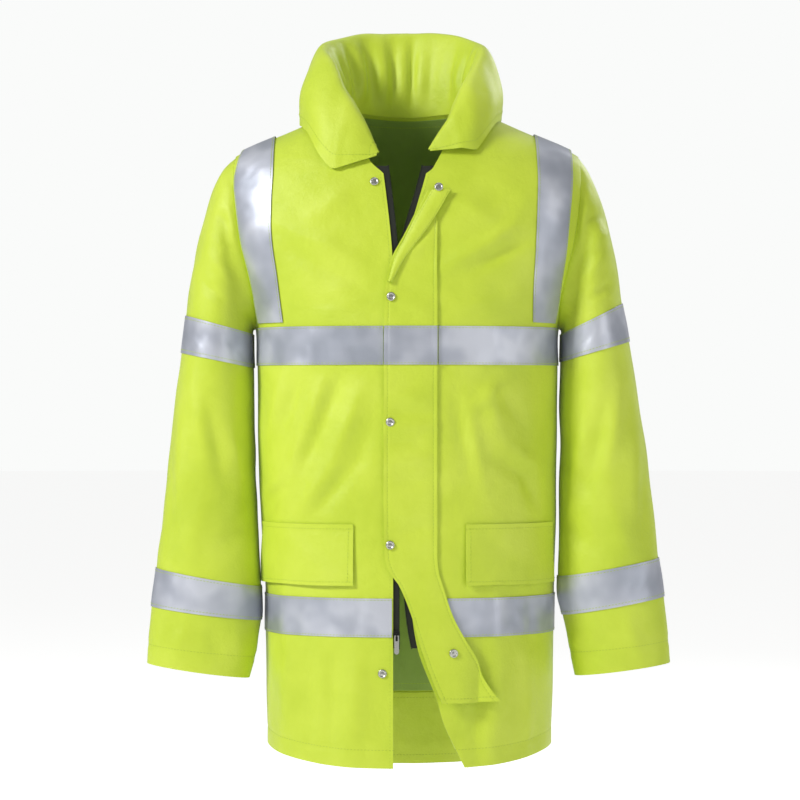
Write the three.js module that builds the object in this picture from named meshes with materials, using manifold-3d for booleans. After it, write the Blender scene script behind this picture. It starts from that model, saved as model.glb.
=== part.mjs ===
// Hi-vis work jacket, filled out as it is worn, in millimetres with +Z up. The front faces -Y, +X is the
// viewer's right, and the origin is the centre of the neck opening at the height of the shoulders' neck
// points. Every cloth piece is a thin wall: a grid of outer points and the same points moved in by the
// wall's thickness.
import * as THREE from "three";
import { mergeVertices } from "three/addons/utils/BufferGeometryUtils.js";
import Module from "manifold-3d";

// Driving sizes
const CLOTH = 1.6;
const FLAP_CLOTH = 2;
const COLLAR_CLOTH = 2;
const LINING_CLOTH = 1;
const TAPE_CLOTH = 1;
const SEAM_GAP = 0.35;
const LAID_GAP = 0.4;
const NECK_HALF_WIDTH = 82;
const NECK_FRONT_REACH = 100;
const NECK_BACK_REACH = 75;
const SHOULDER_TIP_Z = -65;
const YOKE_Z = -95;
const UNDERARM_Z = -291;
const CHEST_BAND_BOTTOM_Z = -340;
const POCKET_TOP_Z = -543;
const POCKET_BOTTOM_Z = -621;
const HEM_BAND_TOP_Z = -637;
const HEM_BAND_BOTTOM_Z = -686;
const HEM = { front: -852, back: -884, frontLift: 18, backLift: 48 };

// The body's rings, from the neck down. The half widths left and right of the centre and the half depths
// to the front and back are in millimetres. Squareness 2 is an ellipse, and more is squarer.
const BODY = [
  { z: 0, left: 82, right: 82, front: 72, back: 72, square: 2 },
  { z: -30, left: 149, right: 149, front: 82, back: 90, square: 2.1 },
  { z: -65, left: 226, right: 226, front: 97, back: 110, square: 2.25 },
  { z: -95, left: 239, right: 239, front: 110, back: 123, square: 2.6 },
  { z: -130, left: 241, right: 241, front: 121, back: 133, square: 2.75 },
  { z: -180, left: 233, right: 233, front: 132, back: 140, square: 2.75 },
  { z: -235, left: 214, right: 214, front: 138, back: 142, square: 2.6 },
  { z: -291, left: 198, right: 198, front: 141, back: 141, square: 2.45 },
  { z: -345, left: 197, right: 198, front: 141, back: 139, square: 2.35 },
  { z: -451, left: 196, right: 197, front: 140, back: 136, square: 2.3 },
  { z: -543, left: 192, right: 196, front: 140, back: 138, square: 2.3 },
  { z: -616, left: 187, right: 194, front: 141, back: 141, square: 2.3 },
  { z: -700, left: 186, right: 193, front: 143, back: 145, square: 2.3 },
  { z: -884, left: 183, right: 189, front: 148, back: 150, square: 2.3 },
];

// The armhole seam: how far out it lies on the front and on the back at each height.
const ARMHOLE = [
  { z: -65, front: 226, back: 226 },
  { z: -95, front: 227, back: 226 },
  { z: -130, front: 224, back: 222 },
  { z: -180, front: 217, back: 214 },
  { z: -206, front: 211, back: 208 },
  { z: -231, front: 205, back: 203.5 },
  { z: -257, front: 200, back: 199.5 },
  { z: -291, front: 198, back: 198 },
];

// The front edges. The fronts part in a V at the neck, and the viewer's right one swings open below.
const EDGES = [
  { z: -60, left: -37, right: 27 },
  { z: -83, left: -32, right: 27 },
  { z: -192, left: -19.5, right: -2 },
  { z: -235, left: -19.5, right: -1.5 },
  { z: -300, left: -19, right: -1.5 },
  { z: -580, left: -18.5, right: -1.5 },
  { z: -612, left: -18, right: 1 },
  { z: -700, left: -18, right: 13 },
  { z: -764, left: -18, right: 37 },
  { z: -800, left: -18, right: 48 },
  { z: -852, left: -18, right: 73 },
];

// The largest folds of the body: a soft ridge, or a trough where rise is negative, along a line seen from
// the front or the back.
const BODY_FOLDS = [
  { side: "front", x1: -98, z1: -351, x2: -172, z2: -503, width: 13, rise: 5 },
  { side: "front", x1: -81, z1: -360, x2: -128, z2: -461, width: 13, rise: -5 },
  { side: "front", x1: -66, z1: -380, x2: -128, z2: -524, width: 15, rise: 5 },
  { side: "front", x1: -62, z1: -430, x2: -92, z2: -505, width: 13, rise: -4 },
  { side: "front", x1: -60, z1: -700, x2: -70, z2: -840, width: 22, rise: 4 },
  { side: "front", x1: -130, z1: -690, x2: -120, z2: -840, width: 24, rise: -4 },
  { side: "front", x1: 55, z1: -225, x2: 135, z2: -160, width: 15, rise: -4 },
  { side: "front", x1: 70, z1: -258, x2: 135, z2: -208, width: 14, rise: 4 },
  { side: "front", x1: 90, z1: -370, x2: 150, z2: -470, width: 20, rise: 4 },
  { side: "front", x1: 120, z1: -360, x2: 165, z2: -430, width: 16, rise: -4 },
  { side: "front", x1: 120, z1: -690, x2: 105, z2: -840, width: 22, rise: 4 },
  { side: "back", x1: -150, z1: -300, x2: -60, z2: -420, width: 22, rise: 5 },
  { side: "back", x1: 150, z1: -310, x2: 70, z2: -440, width: 22, rise: 5 },
  { side: "back", x1: -130, z1: -180, x2: -20, z2: -230, width: 20, rise: -4 },
  { side: "back", x1: 130, z1: -190, x2: 30, z2: -250, width: 20, rise: -4 },
  { side: "back", x1: -95, z1: -520, x2: -110, z2: -860, width: 26, rise: 6 },
  { side: "back", x1: -35, z1: -600, x2: -30, z2: -870, width: 22, rise: -5 },
  { side: "back", x1: 40, z1: -560, x2: 45, z2: -870, width: 24, rise: 6 },
  { side: "back", x1: 105, z1: -640, x2: 120, z2: -860, width: 22, rise: -5 },
];

// The sleeves, from the armhole to the cuff. Each ring runs from its outer point to its inner point, seen
// from the front, and y is its middle and depth its half depth.
const SLEEVE_LEFT = [
  { outX: 226, outZ: -65, inX: 198, inZ: -291, y: 0, depth: 72 },
  { outX: 242, outZ: -79, inX: 201, inZ: -292, y: 0, depth: 74 },
  { outX: 255, outZ: -106, inX: 203, inZ: -293, y: 0, depth: 76 },
  { outX: 267, outZ: -146, inX: 203.5, inZ: -294, y: -1, depth: 76 },
  { outX: 278, outZ: -190, inX: 203.5, inZ: -295, y: -2, depth: 76 },
  { outX: 286, outZ: -235, inX: 203.5, inZ: -296.5, y: -3, depth: 75 },
  { outX: 291, outZ: -274, inX: 203, inZ: -299, y: -4, depth: 74 },
  { outX: 294, outZ: -299, inX: 202.5, inZ: -321, y: -5, depth: 73 },
  { outX: 297, outZ: -323, inX: 202, inZ: -343, y: -6, depth: 72 },
  { outX: 305, outZ: -385, inX: 201.5, inZ: -400, y: -8, depth: 70 },
  { outX: 312, outZ: -451, inX: 200, inZ: -462, y: -12, depth: 67 },
  { outX: 319, outZ: -517, inX: 197, inZ: -532, y: -17, depth: 62 },
  { outX: 325, outZ: -575, inX: 193, inZ: -594, y: -23, depth: 56 },
  { outX: 328, outZ: -604, inX: 191, inZ: -628, y: -26, depth: 53 },
  { outX: 331, outZ: -629, inX: 190, inZ: -650, y: -28, depth: 50 },
  { outX: 334, outZ: -654, inX: 190.5, inZ: -672, y: -30, depth: 47 },
  { outX: 338, outZ: -696, inX: 197, inZ: -712, y: -33, depth: 43 },
  { outX: 340, outZ: -728, inX: 206, inZ: -747, y: -35, depth: 40 },
];
const SLEEVE_RIGHT = [
  { outX: 226, outZ: -65, inX: 198, inZ: -291, y: 0, depth: 72 },
  { outX: 239, outZ: -82, inX: 201, inZ: -292, y: 0, depth: 74 },
  { outX: 251, outZ: -110, inX: 203, inZ: -293, y: 0, depth: 76 },
  { outX: 263, outZ: -148, inX: 203.5, inZ: -294, y: -1, depth: 76 },
  { outX: 272, outZ: -187, inX: 203.5, inZ: -295, y: -2, depth: 76 },
  { outX: 278, outZ: -225, inX: 203.5, inZ: -296.5, y: -3, depth: 75 },
  { outX: 283, outZ: -258, inX: 203, inZ: -299, y: -4, depth: 74 },
  { outX: 288, outZ: -283, inX: 202.5, inZ: -315, y: -5, depth: 73 },
  { outX: 292, outZ: -308, inX: 202, inZ: -335, y: -6, depth: 72 },
  { outX: 303, outZ: -375, inX: 201.5, inZ: -395, y: -8, depth: 70 },
  { outX: 313, outZ: -445, inX: 201, inZ: -460, y: -12, depth: 66 },
  { outX: 321, outZ: -510, inX: 200, inZ: -528, y: -17, depth: 61 },
  { outX: 327, outZ: -566, inX: 198.5, inZ: -588, y: -23, depth: 55 },
  { outX: 329, outZ: -591, inX: 198, inZ: -615, y: -26, depth: 52 },
  { outX: 333, outZ: -616, inX: 198, inZ: -640, y: -28, depth: 49 },
  { outX: 336, outZ: -641, inX: 203, inZ: -665, y: -30, depth: 46 },
  { outX: 341, outZ: -690, inX: 211, inZ: -706, y: -33, depth: 42 },
  { outX: 344, outZ: -727, inX: 219, inZ: -744, y: -35, depth: 39 },
];
// The rows of both tables where a reflective band starts and ends.
const SLEEVE_BANDS = [
  { name: "upper", from: 6, to: 8 },
  { name: "lower", from: 13, to: 15 },
];
const SLEEVE_FOLDS = [
  { side: "front", x1: 240, z1: -135, x2: 282, z2: -225, width: 14, rise: -4 },
  { side: "front", x1: 215, z1: -225, x2: 285, z2: -262, width: 12, rise: 4 },
  { side: "front", x1: 210, z1: -390, x2: 290, z2: -440, width: 15, rise: -4 },
  { side: "front", x1: 215, z1: -450, x2: 300, z2: -480, width: 15, rise: 4 },
  { side: "front", x1: 240, z1: -690, x2: 290, z2: -735, width: 13, rise: 3 },
  { side: "back", x1: 215, z1: -200, x2: 270, z2: -250, width: 14, rise: -4 },
  { side: "back", x1: 215, z1: -380, x2: 300, z2: -410, width: 15, rise: 4 },
  { side: "back", x1: 215, z1: -430, x2: 300, z2: -460, width: 15, rise: -4 },
  { side: "back", x1: 215, z1: -560, x2: 300, z2: -590, width: 15, rise: 4 },
];

// The collar's section at each turn round the neck, in degrees from the back's centre: the distance from
// the neck's axis and the height of its mouth, crest, bulge and free lower edge.
const COLLAR_COLUMNS = ["turn", "mouthR", "mouthZ", "crestR", "crestZ", "bulgeR", "bulgeZ", "fallR", "fallZ"];
const collarTable = (rows) => rows.map((row) =>
  Object.fromEntries(COLLAR_COLUMNS.map((column, k) => [column, row[k]])));
const COLLAR_LEFT = collarTable([
  [0, 77, 55, 98, 110, 122, 62, 126, -38],
  [35, 79, 54, 101, 107, 126, 58, 130, -38],
  [65, 84, 50, 106, 94, 133, 48, 137, -34],
  [90, 90, 42, 111, 80, 136, 30, 138, -28],
  [115, 94, 20, 107, 52, 138, 8, 142, -46],
  [135, 94, -4, 111, 10, 136, -24, 146, -86],
  [150, 101, -42, 114, -34, 124, -52, 130, -84],
  [162, 106, -72, 114, -67, 118, -71, 117, -79],
]);
const COLLAR_RIGHT = collarTable([
  [0, 77, 55, 98, 110, 122, 62, 126, -38],
  [35, 78, 54, 99, 107, 122, 58, 126, -38],
  [65, 80, 50, 101, 92, 124, 48, 128, -34],
  [90, 82, 42, 100, 76, 125, 26, 124, -26],
  [115, 83, 20, 96, 46, 124, 6, 126, -40],
  [135, 87, -1, 101, 9, 122, -22, 130, -62],
  [150, 98, -33, 108, -28, 116, -47, 122, -62],
  [166, 104, -67, 113, -62, 116, -66, 115, -73],
]);

// Heights of the body's rows at its sides, and the number of cloth strips across each panel.
const NECK_ROWS = [0, -20, -38, -52, SHOULDER_TIP_Z, -80, YOKE_Z];
const ARM_ROWS = [-118, -145, -175, -205, -235, -262, -280, UNDERARM_Z];
const BODY_ROWS = [
  -315, CHEST_BAND_BOTTOM_Z, -369, -398, -427, -456, -485, -514, POCKET_TOP_Z, -582, POCKET_BOTTOM_Z,
  HEM_BAND_TOP_Z, -661, HEM_BAND_BOTTOM_Z,
];
const HEM_STEPS = [0.25, 0.5, 0.72, 1];
const FRONT_STRIPS = 11;
const BACK_STRIPS = 18;

const mix = (a, b, t) => a + (b - a) * t;
// 0 up to the value `from` and 1 past the value `to`, with a soft step between them.
const smooth = (from, to, value) => THREE.MathUtils.smoothstep((value - from) / (to - from), 0, 1);

// A smooth curve through one column of a table.
function read(table, key, value, column) {
  const last = table.length - 1;
  const way = table[last][key] < table[0][key] ? -1 : 1;
  if (way * (value - table[0][key]) <= 0) return table[0][column];
  if (way * (value - table[last][key]) >= 0) return table[last][column];
  const i = table.findIndex((row, k) => k > 0 && way * (value - row[key]) <= 0) - 1;
  const slope = (k) => {
    const a = table[Math.max(k - 1, 0)];
    const b = table[Math.min(k + 1, last)];
    return (b[column] - a[column]) / (b[key] - a[key]);
  };
  const width = table[i + 1][key] - table[i][key];
  const t = (value - table[i][key]) / width;
  const rise = t * t * (3 - 2 * t);
  const start = t * (1 - t) * (1 - t) * width * slope(i);
  const end = t * t * (t - 1) * width * slope(i + 1);
  return mix(table[i][column], table[i + 1][column], rise) + start + end;
}

// A point of the body's ring at height z. The angle runs from the right side over the front.
function onBody(angle, z) {
  const across = Math.cos(angle);
  const ahead = Math.sin(angle);
  const power = 2 / read(BODY, "z", z, "square");
  const halfWidth = read(BODY, "z", z, across < 0 ? "left" : "right");
  const halfDepth = read(BODY, "z", z, ahead < 0 ? "back" : "front");
  const x = Math.sign(across) * halfWidth * Math.abs(across) ** power;
  const y = -Math.sign(ahead) * halfDepth * Math.abs(ahead) ** power;
  return new THREE.Vector3(x, y, z);
}

// The angle at which the ring at height z lies x out, on the front.
function angleAt(x, z) {
  const halfWidth = read(BODY, "z", z, x < 0 ? "left" : "right");
  const square = read(BODY, "z", z, "square");
  const reach = Math.min(Math.abs(x) / halfWidth, 1) ** (square / 2);
  return Math.acos(Math.sign(x) * reach);
}

// The height at which the body's surface meets the oval of the neck opening, at one angle.
function necklineZ(angle) {
  const reach = Math.sin(angle) < 0 ? NECK_BACK_REACH : NECK_FRONT_REACH;
  let inside = 0;
  let outside = -90;
  for (let step = 0; step < 40; step += 1) {
    const z = (inside + outside) / 2;
    const point = onBody(angle, z);
    const oval = (point.x / NECK_HALF_WIDTH) ** 2 + (point.y / reach) ** 2;
    if (oval < 1) inside = z;
    else outside = z;
  }
  return inside;
}

// Where bands and pocket flaps hold the cloth smooth, and how far above and below them the folds fade in.
const CALM_ZONES = [
  { top: UNDERARM_Z, bottom: CHEST_BAND_BOTTOM_Z },
  { top: POCKET_TOP_Z, bottom: HEM_BAND_BOTTOM_Z },
];
const CALM_FADE = 26;

function foldShare(z) {
  let share = 1;
  for (const zone of CALM_ZONES) {
    const away = Math.max(z - zone.top, zone.bottom - z, 0);
    share *= smooth(2, CALM_FADE, away);
  }
  return share;
}

// How far the folds of a table lift the cloth at a point, on its front or its back.
function foldAt(folds, point, side) {
  let lift = 0;
  for (const fold of folds.filter((row) => row.side === side)) {
    const run = new THREE.Vector2(fold.x2 - fold.x1, fold.z2 - fold.z1);
    const from = new THREE.Vector2(point.x - fold.x1, point.z - fold.z1);
    const along = THREE.MathUtils.clamp(from.dot(run) / run.lengthSq(), 0, 1);
    const distance = from.sub(run.multiplyScalar(along)).length();
    lift += fold.rise * Math.exp(-((distance / fold.width) ** 2));
  }
  return lift;
}

// Outward normals of a grid of points. The grid may close on itself across its columns.
function normalsOf(grid, closed, outward) {
  const rows = grid.length;
  const columns = grid[0].length;
  const near = (j) => (closed ? (j + columns) % columns : THREE.MathUtils.clamp(j, 0, columns - 1));
  return grid.map((row, i) => row.map((point, j) => {
    const above = grid[Math.max(i - 1, 0)][j];
    const below = grid[Math.min(i + 1, rows - 1)][j];
    const left = grid[i][near(j - 1)];
    const right = grid[i][near(j + 1)];
    const normal = new THREE.Vector3().crossVectors(below.clone().sub(above), right.clone().sub(left));
    if (normal.dot(outward(point)) < 0) normal.negate();
    return normal.normalize();
  }));
}

const moved = (grid, normals, distance) => grid.map((row, i) =>
  row.map((point, j) => point.clone().addScaledVector(normals[i][j], distance)));

// The closed body between two grids of points, with its four edges, or its two ends where it is a tube.
function wallGeometry(outer, inner, closed) {
  const rows = outer.length;
  const columns = outer[0].length;
  const points = [...outer.flat(), ...inner.flat()];
  const at = (i, j, layer) => layer * rows * columns + i * columns + (j % columns);
  const faces = [];
  const quad = (a, b, c, d) => {
    faces.push(a, b, c);
    faces.push(a, c, d);
  };
  const strips = closed ? columns : columns - 1;
  for (let j = 0; j < strips; j += 1) {
    for (let i = 0; i < rows - 1; i += 1) {
      quad(at(i, j, 0), at(i + 1, j, 0), at(i + 1, j + 1, 0), at(i, j + 1, 0));
      quad(at(i, j, 1), at(i, j + 1, 1), at(i + 1, j + 1, 1), at(i + 1, j, 1));
    }
    quad(at(0, j, 0), at(0, j + 1, 0), at(0, j + 1, 1), at(0, j, 1));
    quad(at(rows - 1, j, 0), at(rows - 1, j, 1), at(rows - 1, j + 1, 1), at(rows - 1, j + 1, 0));
  }
  if (!closed) {
    for (let i = 0; i < rows - 1; i += 1) {
      const end = columns - 1;
      quad(at(i, 0, 0), at(i, 0, 1), at(i + 1, 0, 1), at(i + 1, 0, 0));
      quad(at(i, end, 0), at(i + 1, end, 0), at(i + 1, end, 1), at(i, end, 1));
    }
  }
  return solidGeometry(points, faces);
}

// A closed geometry whose faces point outwards, with shared points merged and empty faces dropped.
function solidGeometry(points, faces) {
  let raw = new THREE.BufferGeometry();
  raw.setAttribute("position", new THREE.Float32BufferAttribute(points.flatMap((p) => [p.x, p.y, p.z]), 3));
  raw.setIndex(faces);
  raw = mergeVertices(raw, 1e-3);
  const index = Array.from(raw.getIndex().array);
  const kept = [];
  for (let k = 0; k < index.length; k += 3) {
    const [a, b, c] = index.slice(k, k + 3);
    if (a !== b && b !== c && a !== c) kept.push(a, b, c);
  }
  const position = raw.getAttribute("position");
  const corner = (k) => new THREE.Vector3().fromBufferAttribute(position, kept[k]);
  let volume = 0;
  for (let k = 0; k < kept.length; k += 3) volume += corner(k).dot(corner(k + 1).cross(corner(k + 2)));
  if (volume < 0) kept.reverse();
  raw.setIndex(kept);
  raw.computeVertexNormals();
  return raw;
}

const awayFromAxis = (point) => new THREE.Vector3(point.x * 0.45, point.y, point.z > -120 ? 120 : 0);

// A body panel: its grid of outer points, their normals and the wall's inner points.
// rowAngles gives the angle where a row starts and ends, and hemZ the hem's height at an angle.
function bodyPanel({ strips, rowAngles, hemZ, side }) {
  const plans = [];
  const addRow = (sideZ, height) => plans.push({ ends: rowAngles(sideZ), height });
  for (const z of NECK_ROWS) {
    addRow(z, (angle) => mix(necklineZ(angle), YOKE_Z, z / YOKE_Z));
  }
  for (const z of [...ARM_ROWS, ...BODY_ROWS]) addRow(z, () => z);
  for (const step of HEM_STEPS) {
    addRow(mix(HEM_BAND_BOTTOM_Z, HEM.front, step), (angle) => mix(HEM_BAND_BOTTOM_Z, hemZ(angle), step));
  }
  const plainAt = (i, column) => {
    const angle = mix(...plans[i].ends, column / strips);
    return onBody(angle, plans[i].height(angle));
  };
  const columns = Array.from({ length: strips + 1 }, (unused, j) => j);
  const plain = plans.map((plan, i) => columns.map((j) => plainAt(i, j)));
  const plainNormals = normalsOf(plain, false, awayFromAxis);
  const normalAt = (normals, i, column) => {
    const j = Math.min(Math.floor(column), strips - 1);
    return normals[i][j].clone().lerp(normals[i][j + 1], column - j).normalize();
  };
  const pointAt = (i, column) => {
    const point = plainAt(i, column);
    const clear = smooth(0.2, 0.5, Math.abs(point.y) / 140) * smooth(-90, -130, point.z);
    const edge = smooth(0, 0.4, 1 - Math.abs((2 * column) / strips - 1));
    const lift = foldAt(BODY_FOLDS, point, side) * foldShare(point.z) * clear * edge;
    return point.addScaledVector(normalAt(plainNormals, i, column), lift);
  };
  const grid = plans.map((plan, i) => columns.map((j) => pointAt(i, j)));
  const normals = normalsOf(grid, false, awayFromAxis);
  const panel = { grid, normals, inner: moved(grid, normals, -CLOTH), strips, pointAt };
  panel.normalAt = (i, column) => normalAt(normals, i, column);
  return panel;
}

// Rows whose side lies on a seam with the panel behind or before it: the shoulder seam and the side seam.
const isSeamRow = (z) => z >= SHOULDER_TIP_Z || z <= UNDERARM_Z;

// Parts a panel's side from the next panel by half the seam's gap, and keeps both walls on their own side.
function partSeam(panel, column, way) {
  const sideRows = [...NECK_ROWS, ...ARM_ROWS, ...BODY_ROWS];
  panel.grid.forEach((row, i) => {
    const z = sideRows[i] ?? HEM.front;
    if (!isSeamRow(z)) return;
    const j = column < 0 ? row.length - 1 : column;
    row[j].y += (way * SEAM_GAP) / 2;
    const normal = panel.normals[i][j];
    normal.y = 0;
    normal.normalize();
    panel.inner[i][j].copy(row[j]).addScaledVector(normal, -CLOTH);
  });
}

const armAngle = (z, sign, side) => {
  if (isSeamRow(z)) return 0;
  const x = Math.min(read(ARMHOLE, "z", z, side), read(BODY, "z", z, sign < 0 ? "left" : "right"));
  return angleAt(x, z);
};

function frontPanel(sign) {
  const edgeColumn = sign < 0 ? "left" : "right";
  const panel = bodyPanel({
    strips: FRONT_STRIPS,
    side: "front",
    rowAngles: (z) => {
      const arm = armAngle(z, sign, "front");
      const edge = angleAt(read(EDGES, "z", z, edgeColumn), z);
      return sign < 0 ? [Math.PI - arm, edge] : [arm, edge];
    },
    hemZ: (angle) => HEM.front + HEM.frontLift * Math.abs(Math.cos(angle)) ** 3,
  });
  partSeam(panel, 0, -1);
  return panel;
}

function backPanel() {
  const panel = bodyPanel({
    strips: BACK_STRIPS,
    side: "back",
    rowAngles: (z) => [-armAngle(z, 1, "back"), -Math.PI + armAngle(z, -1, "back")],
    hemZ: (angle) => HEM.back + HEM.backLift * Math.abs(Math.cos(angle)) ** 2.5,
  });
  partSeam(panel, 0, 1);
  partSeam(panel, -1, 1);
  return panel;
}

// The armhole's loop of outer and inner points, from the shoulder tip down the front and up the back,
// moved clear of the body's edge by the seam's gap.
function armholeLoop(front, back, sign) {
  const first = NECK_ROWS.indexOf(SHOULDER_TIP_Z);
  const last = NECK_ROWS.length + ARM_ROWS.length - 1;
  const backColumn = sign > 0 ? 0 : BACK_STRIPS;
  const loop = [];
  const add = (a, b) => {
    const shift = (point) => {
      const drop = smooth(-235, UNDERARM_Z, point.z);
      return point.add(new THREE.Vector3(sign * SEAM_GAP, 0, SEAM_GAP * drop));
    };
    loop.push({ outer: shift(a[0].clone().lerp(b[0], 0.5)), inner: shift(a[1].clone().lerp(b[1], 0.5)) });
  };
  const onFront = (i) => [front.grid[i][0], front.inner[i][0]];
  const onBack = (i) => [back.grid[i][backColumn], back.inner[i][backColumn]];
  add(onFront(first), onBack(first));
  for (let i = first + 1; i < last; i += 1) add(onFront(i), onFront(i));
  add(onFront(last), onBack(last));
  for (let i = last - 1; i > first; i -= 1) add(onBack(i), onBack(i));
  return loop;
}

// A sleeve: rings of the table, whose shape goes from the armhole's to an oval over the first rings.
function sleevePanel(table, loop, sign) {
  const frames = table.map((row) => {
    const outer = new THREE.Vector3(sign * row.outX, row.y, row.outZ);
    const inner = new THREE.Vector3(sign * row.inX, row.y, row.inZ);
    const middle = outer.clone().lerp(inner, 0.5);
    const half = outer.clone().sub(middle);
    const across = new THREE.Vector3(0, -1, 0);
    const length = half.length();
    const up = half.clone().divideScalar(length);
    const off = new THREE.Vector3().crossVectors(up, across);
    return { middle, up, length, across, off, depth: row.depth };
  });
  const start = frames[0];
  const local = loop.map(({ outer }) => {
    const from = outer.clone().sub(start.middle);
    return [from.dot(start.up) / start.length, from.dot(start.across) / start.depth, from.dot(start.off)];
  });
  const grid = frames.map((frame, i) => loop.map((point, j) => {
    const turn = (2 * Math.PI * j) / loop.length;
    const blend = smooth(0, 6, i);
    const p = mix(local[j][0], Math.cos(turn), blend);
    const q = mix(local[j][1], Math.sin(turn), blend);
    const result = frame.middle.clone().addScaledVector(frame.up, p * frame.length);
    result.addScaledVector(frame.across, q * frame.depth);
    return result.addScaledVector(frame.off, local[j][2] * (1 - blend));
  }));
  const axisOf = (point) => {
    const nearest = frames.reduce((a, b) =>
      (a.middle.distanceTo(point) < b.middle.distanceTo(point) ? a : b));
    return point.clone().sub(nearest.middle);
  };
  const plain = normalsOf(grid, true, axisOf);
  const folded = grid.map((row, i) => row.map((point, j) => {
    if (i === 0) return point;
    const side = Math.sin((2 * Math.PI * j) / loop.length) > 0 ? "front" : "back";
    const seen = new THREE.Vector3(Math.abs(point.x), 0, point.z);
    const clear = smooth(0.3, 0.8, Math.abs(Math.sin((2 * Math.PI * j) / loop.length)));
    return point.clone().addScaledVector(plain[i][j], foldAt(SLEEVE_FOLDS, seen, side) * clear);
  }));
  const normals = normalsOf(folded, true, axisOf);
  const inner = moved(folded, normals, -CLOTH);
  inner[0] = loop.map((point) => point.inner);
  return { grid: folded, normals, inner };
}

// The column of a panel's row, whole or between two, where the row lies x across.
function columnAt(panel, i, x) {
  const rising = panel.pointAt(i, panel.strips).x > panel.pointAt(i, 0).x;
  let low = 0;
  let high = panel.strips;
  for (let step = 0; step < 30; step += 1) {
    const middle = (low + high) / 2;
    if (panel.pointAt(i, middle).x < x === rising) low = middle;
    else high = middle;
  }
  return (low + high) / 2;
}

// The rows of a panel, each cut between two distances across and divided evenly, on the panel's own form.
function cutRows(panel, rows, limits, strips) {
  const result = { grid: [], normals: [] };
  for (const i of rows) {
    const [from, to] = limits(i, panel.grid[i]).map((x) => columnAt(panel, i, x));
    const stops = Array.from({ length: strips + 1 }, (unused, k) => mix(from, to, k / strips));
    result.grid.push(stops.map((column) => panel.pointAt(i, column)));
    result.normals.push(stops.map((column) => panel.normalAt(i, column)));
  }
  return result;
}

// The same cut across both fronts, where they lie nearly flat.
function cutBoth(rows, limits, strips) {
  const result = { grid: [], normals: [] };
  for (const i of rows) {
    const sides = [frontLeft, frontRight].map((panel) => panel.grid[i].map((point, j) =>
      ({ point, normal: panel.normals[i][j] })));
    const all = sides.flat().sort((a, b) => a.point.x - b.point.x);
    const [from, to] = limits(i, all[Math.floor(all.length / 2)].point.z);
    const points = [];
    const normals = [];
    for (let k = 0; k <= strips; k += 1) {
      const x = mix(from, to, k / strips);
      const past = all.findIndex((each) => each.point.x >= x);
      const a = all[past - 1];
      const b = all[past];
      const t = (x - a.point.x) / (b.point.x - a.point.x);
      points.push(a.point.clone().lerp(b.point, t));
      normals.push(a.normal.clone().lerp(b.normal, t).normalize());
    }
    result.grid.push(points);
    result.normals.push(normals);
  }
  return result;
}

// A closed piece of cloth laid on a cut of a panel. lift may be a number or a function of row and column.
function laidPiece({ grid, normals }, lift, cloth, closed = false) {
  const raise = typeof lift === "function" ? lift : () => lift;
  const under = grid.map((row, i) => row.map((point, j) =>
    point.clone().addScaledVector(normals[i][j], raise(i, j))));
  const over = moved(under, normals, cloth);
  return wallGeometry(over, under, closed);
}

const PANEL_ROWS = [...NECK_ROWS, ...ARM_ROWS, ...BODY_ROWS];
const rowAt = (z) => PANEL_ROWS.indexOf(z);
const rowsBetween = (top, bottom) => {
  const rows = [];
  for (let i = rowAt(top); i <= rowAt(bottom); i += 1) rows.push(i);
  return rows;
};

// Where the bands, braces, flaps and the storm flap lie across the fronts.
const FLAP_FREE_X = -29;
const FLAP_SEAM_X = 38;
const BRACES = {
  left: [
    { z: 0, inner: -172, outer: -223 },
    { z: -80, inner: -172, outer: -223 },
    { z: -130, inner: -174, outer: -223 },
    { z: -180, inner: -173, outer: -215 },
    { z: -235, inner: -165, outer: -202 },
    { z: -291, inner: -158, outer: -192 },
  ],
  right: [
    { z: 0, inner: 166, outer: 214 },
    { z: -80, inner: 168, outer: 214 },
    { z: -130, inner: 167, outer: 211 },
    { z: -180, inner: 165, outer: 206 },
    { z: -235, inner: 162, outer: 199 },
    { z: -291, inner: 161, outer: 190 },
  ],
};
const BRACE_SEAM_CLEARANCE = 2.5;
const POCKETS = { left: [-186, -68], right: [74, 187] };
const POCKET_FLAP_SWING = 3;

const jacket = new THREE.Group();

const FINISH = {
  yellow: { color: 0xc6de40, roughness: 0.55, metalness: 0 },
  reflective: { color: 0xb4b9c8, roughness: 0.4, metalness: 0.3 },
  lining: { color: 0x6b8238, roughness: 0.8, metalness: 0 },
  zip: { color: 0x101408, roughness: 0.6, metalness: 0 },
  steel: { color: 0xb8b8b4, roughness: 0.3, metalness: 0.9 },
};

function add(name, geometry, finish) {
  const mesh = new THREE.Mesh(geometry, new THREE.MeshStandardMaterial(FINISH[finish]));
  mesh.name = name;
  jacket.add(mesh);
  return mesh;
}

// The body and the sleeves
const frontLeft = frontPanel(-1);
const frontRight = frontPanel(1);
const back = backPanel();
add("front_right", wallGeometry(frontLeft.grid, frontLeft.inner, false), "yellow");
add("front_left", wallGeometry(frontRight.grid, frontRight.inner, false), "yellow");
add("back_panel", wallGeometry(back.grid, back.inner, false), "yellow");
const sleeveLeft = sleevePanel(SLEEVE_LEFT, armholeLoop(frontLeft, back, -1), -1);
const sleeveRight = sleevePanel(SLEEVE_RIGHT, armholeLoop(frontRight, back, 1), 1);
add("sleeve_right", wallGeometry(sleeveLeft.grid, sleeveLeft.inner, true), "yellow");
add("sleeve_left", wallGeometry(sleeveRight.grid, sleeveRight.inner, true), "yellow");

// The reflective bands round the sleeves
for (const [sleeve, wearer] of [[sleeveLeft, "right"], [sleeveRight, "left"]]) {
  for (const band of SLEEVE_BANDS) {
    const cut = {
      grid: sleeve.grid.slice(band.from, band.to + 1),
      normals: sleeve.normals.slice(band.from, band.to + 1),
    };
    add(`sleeve_band_${band.name}_${wearer}`, laidPiece(cut, LAID_GAP, TAPE_CLOTH, true), "reflective");
  }
}

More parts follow.
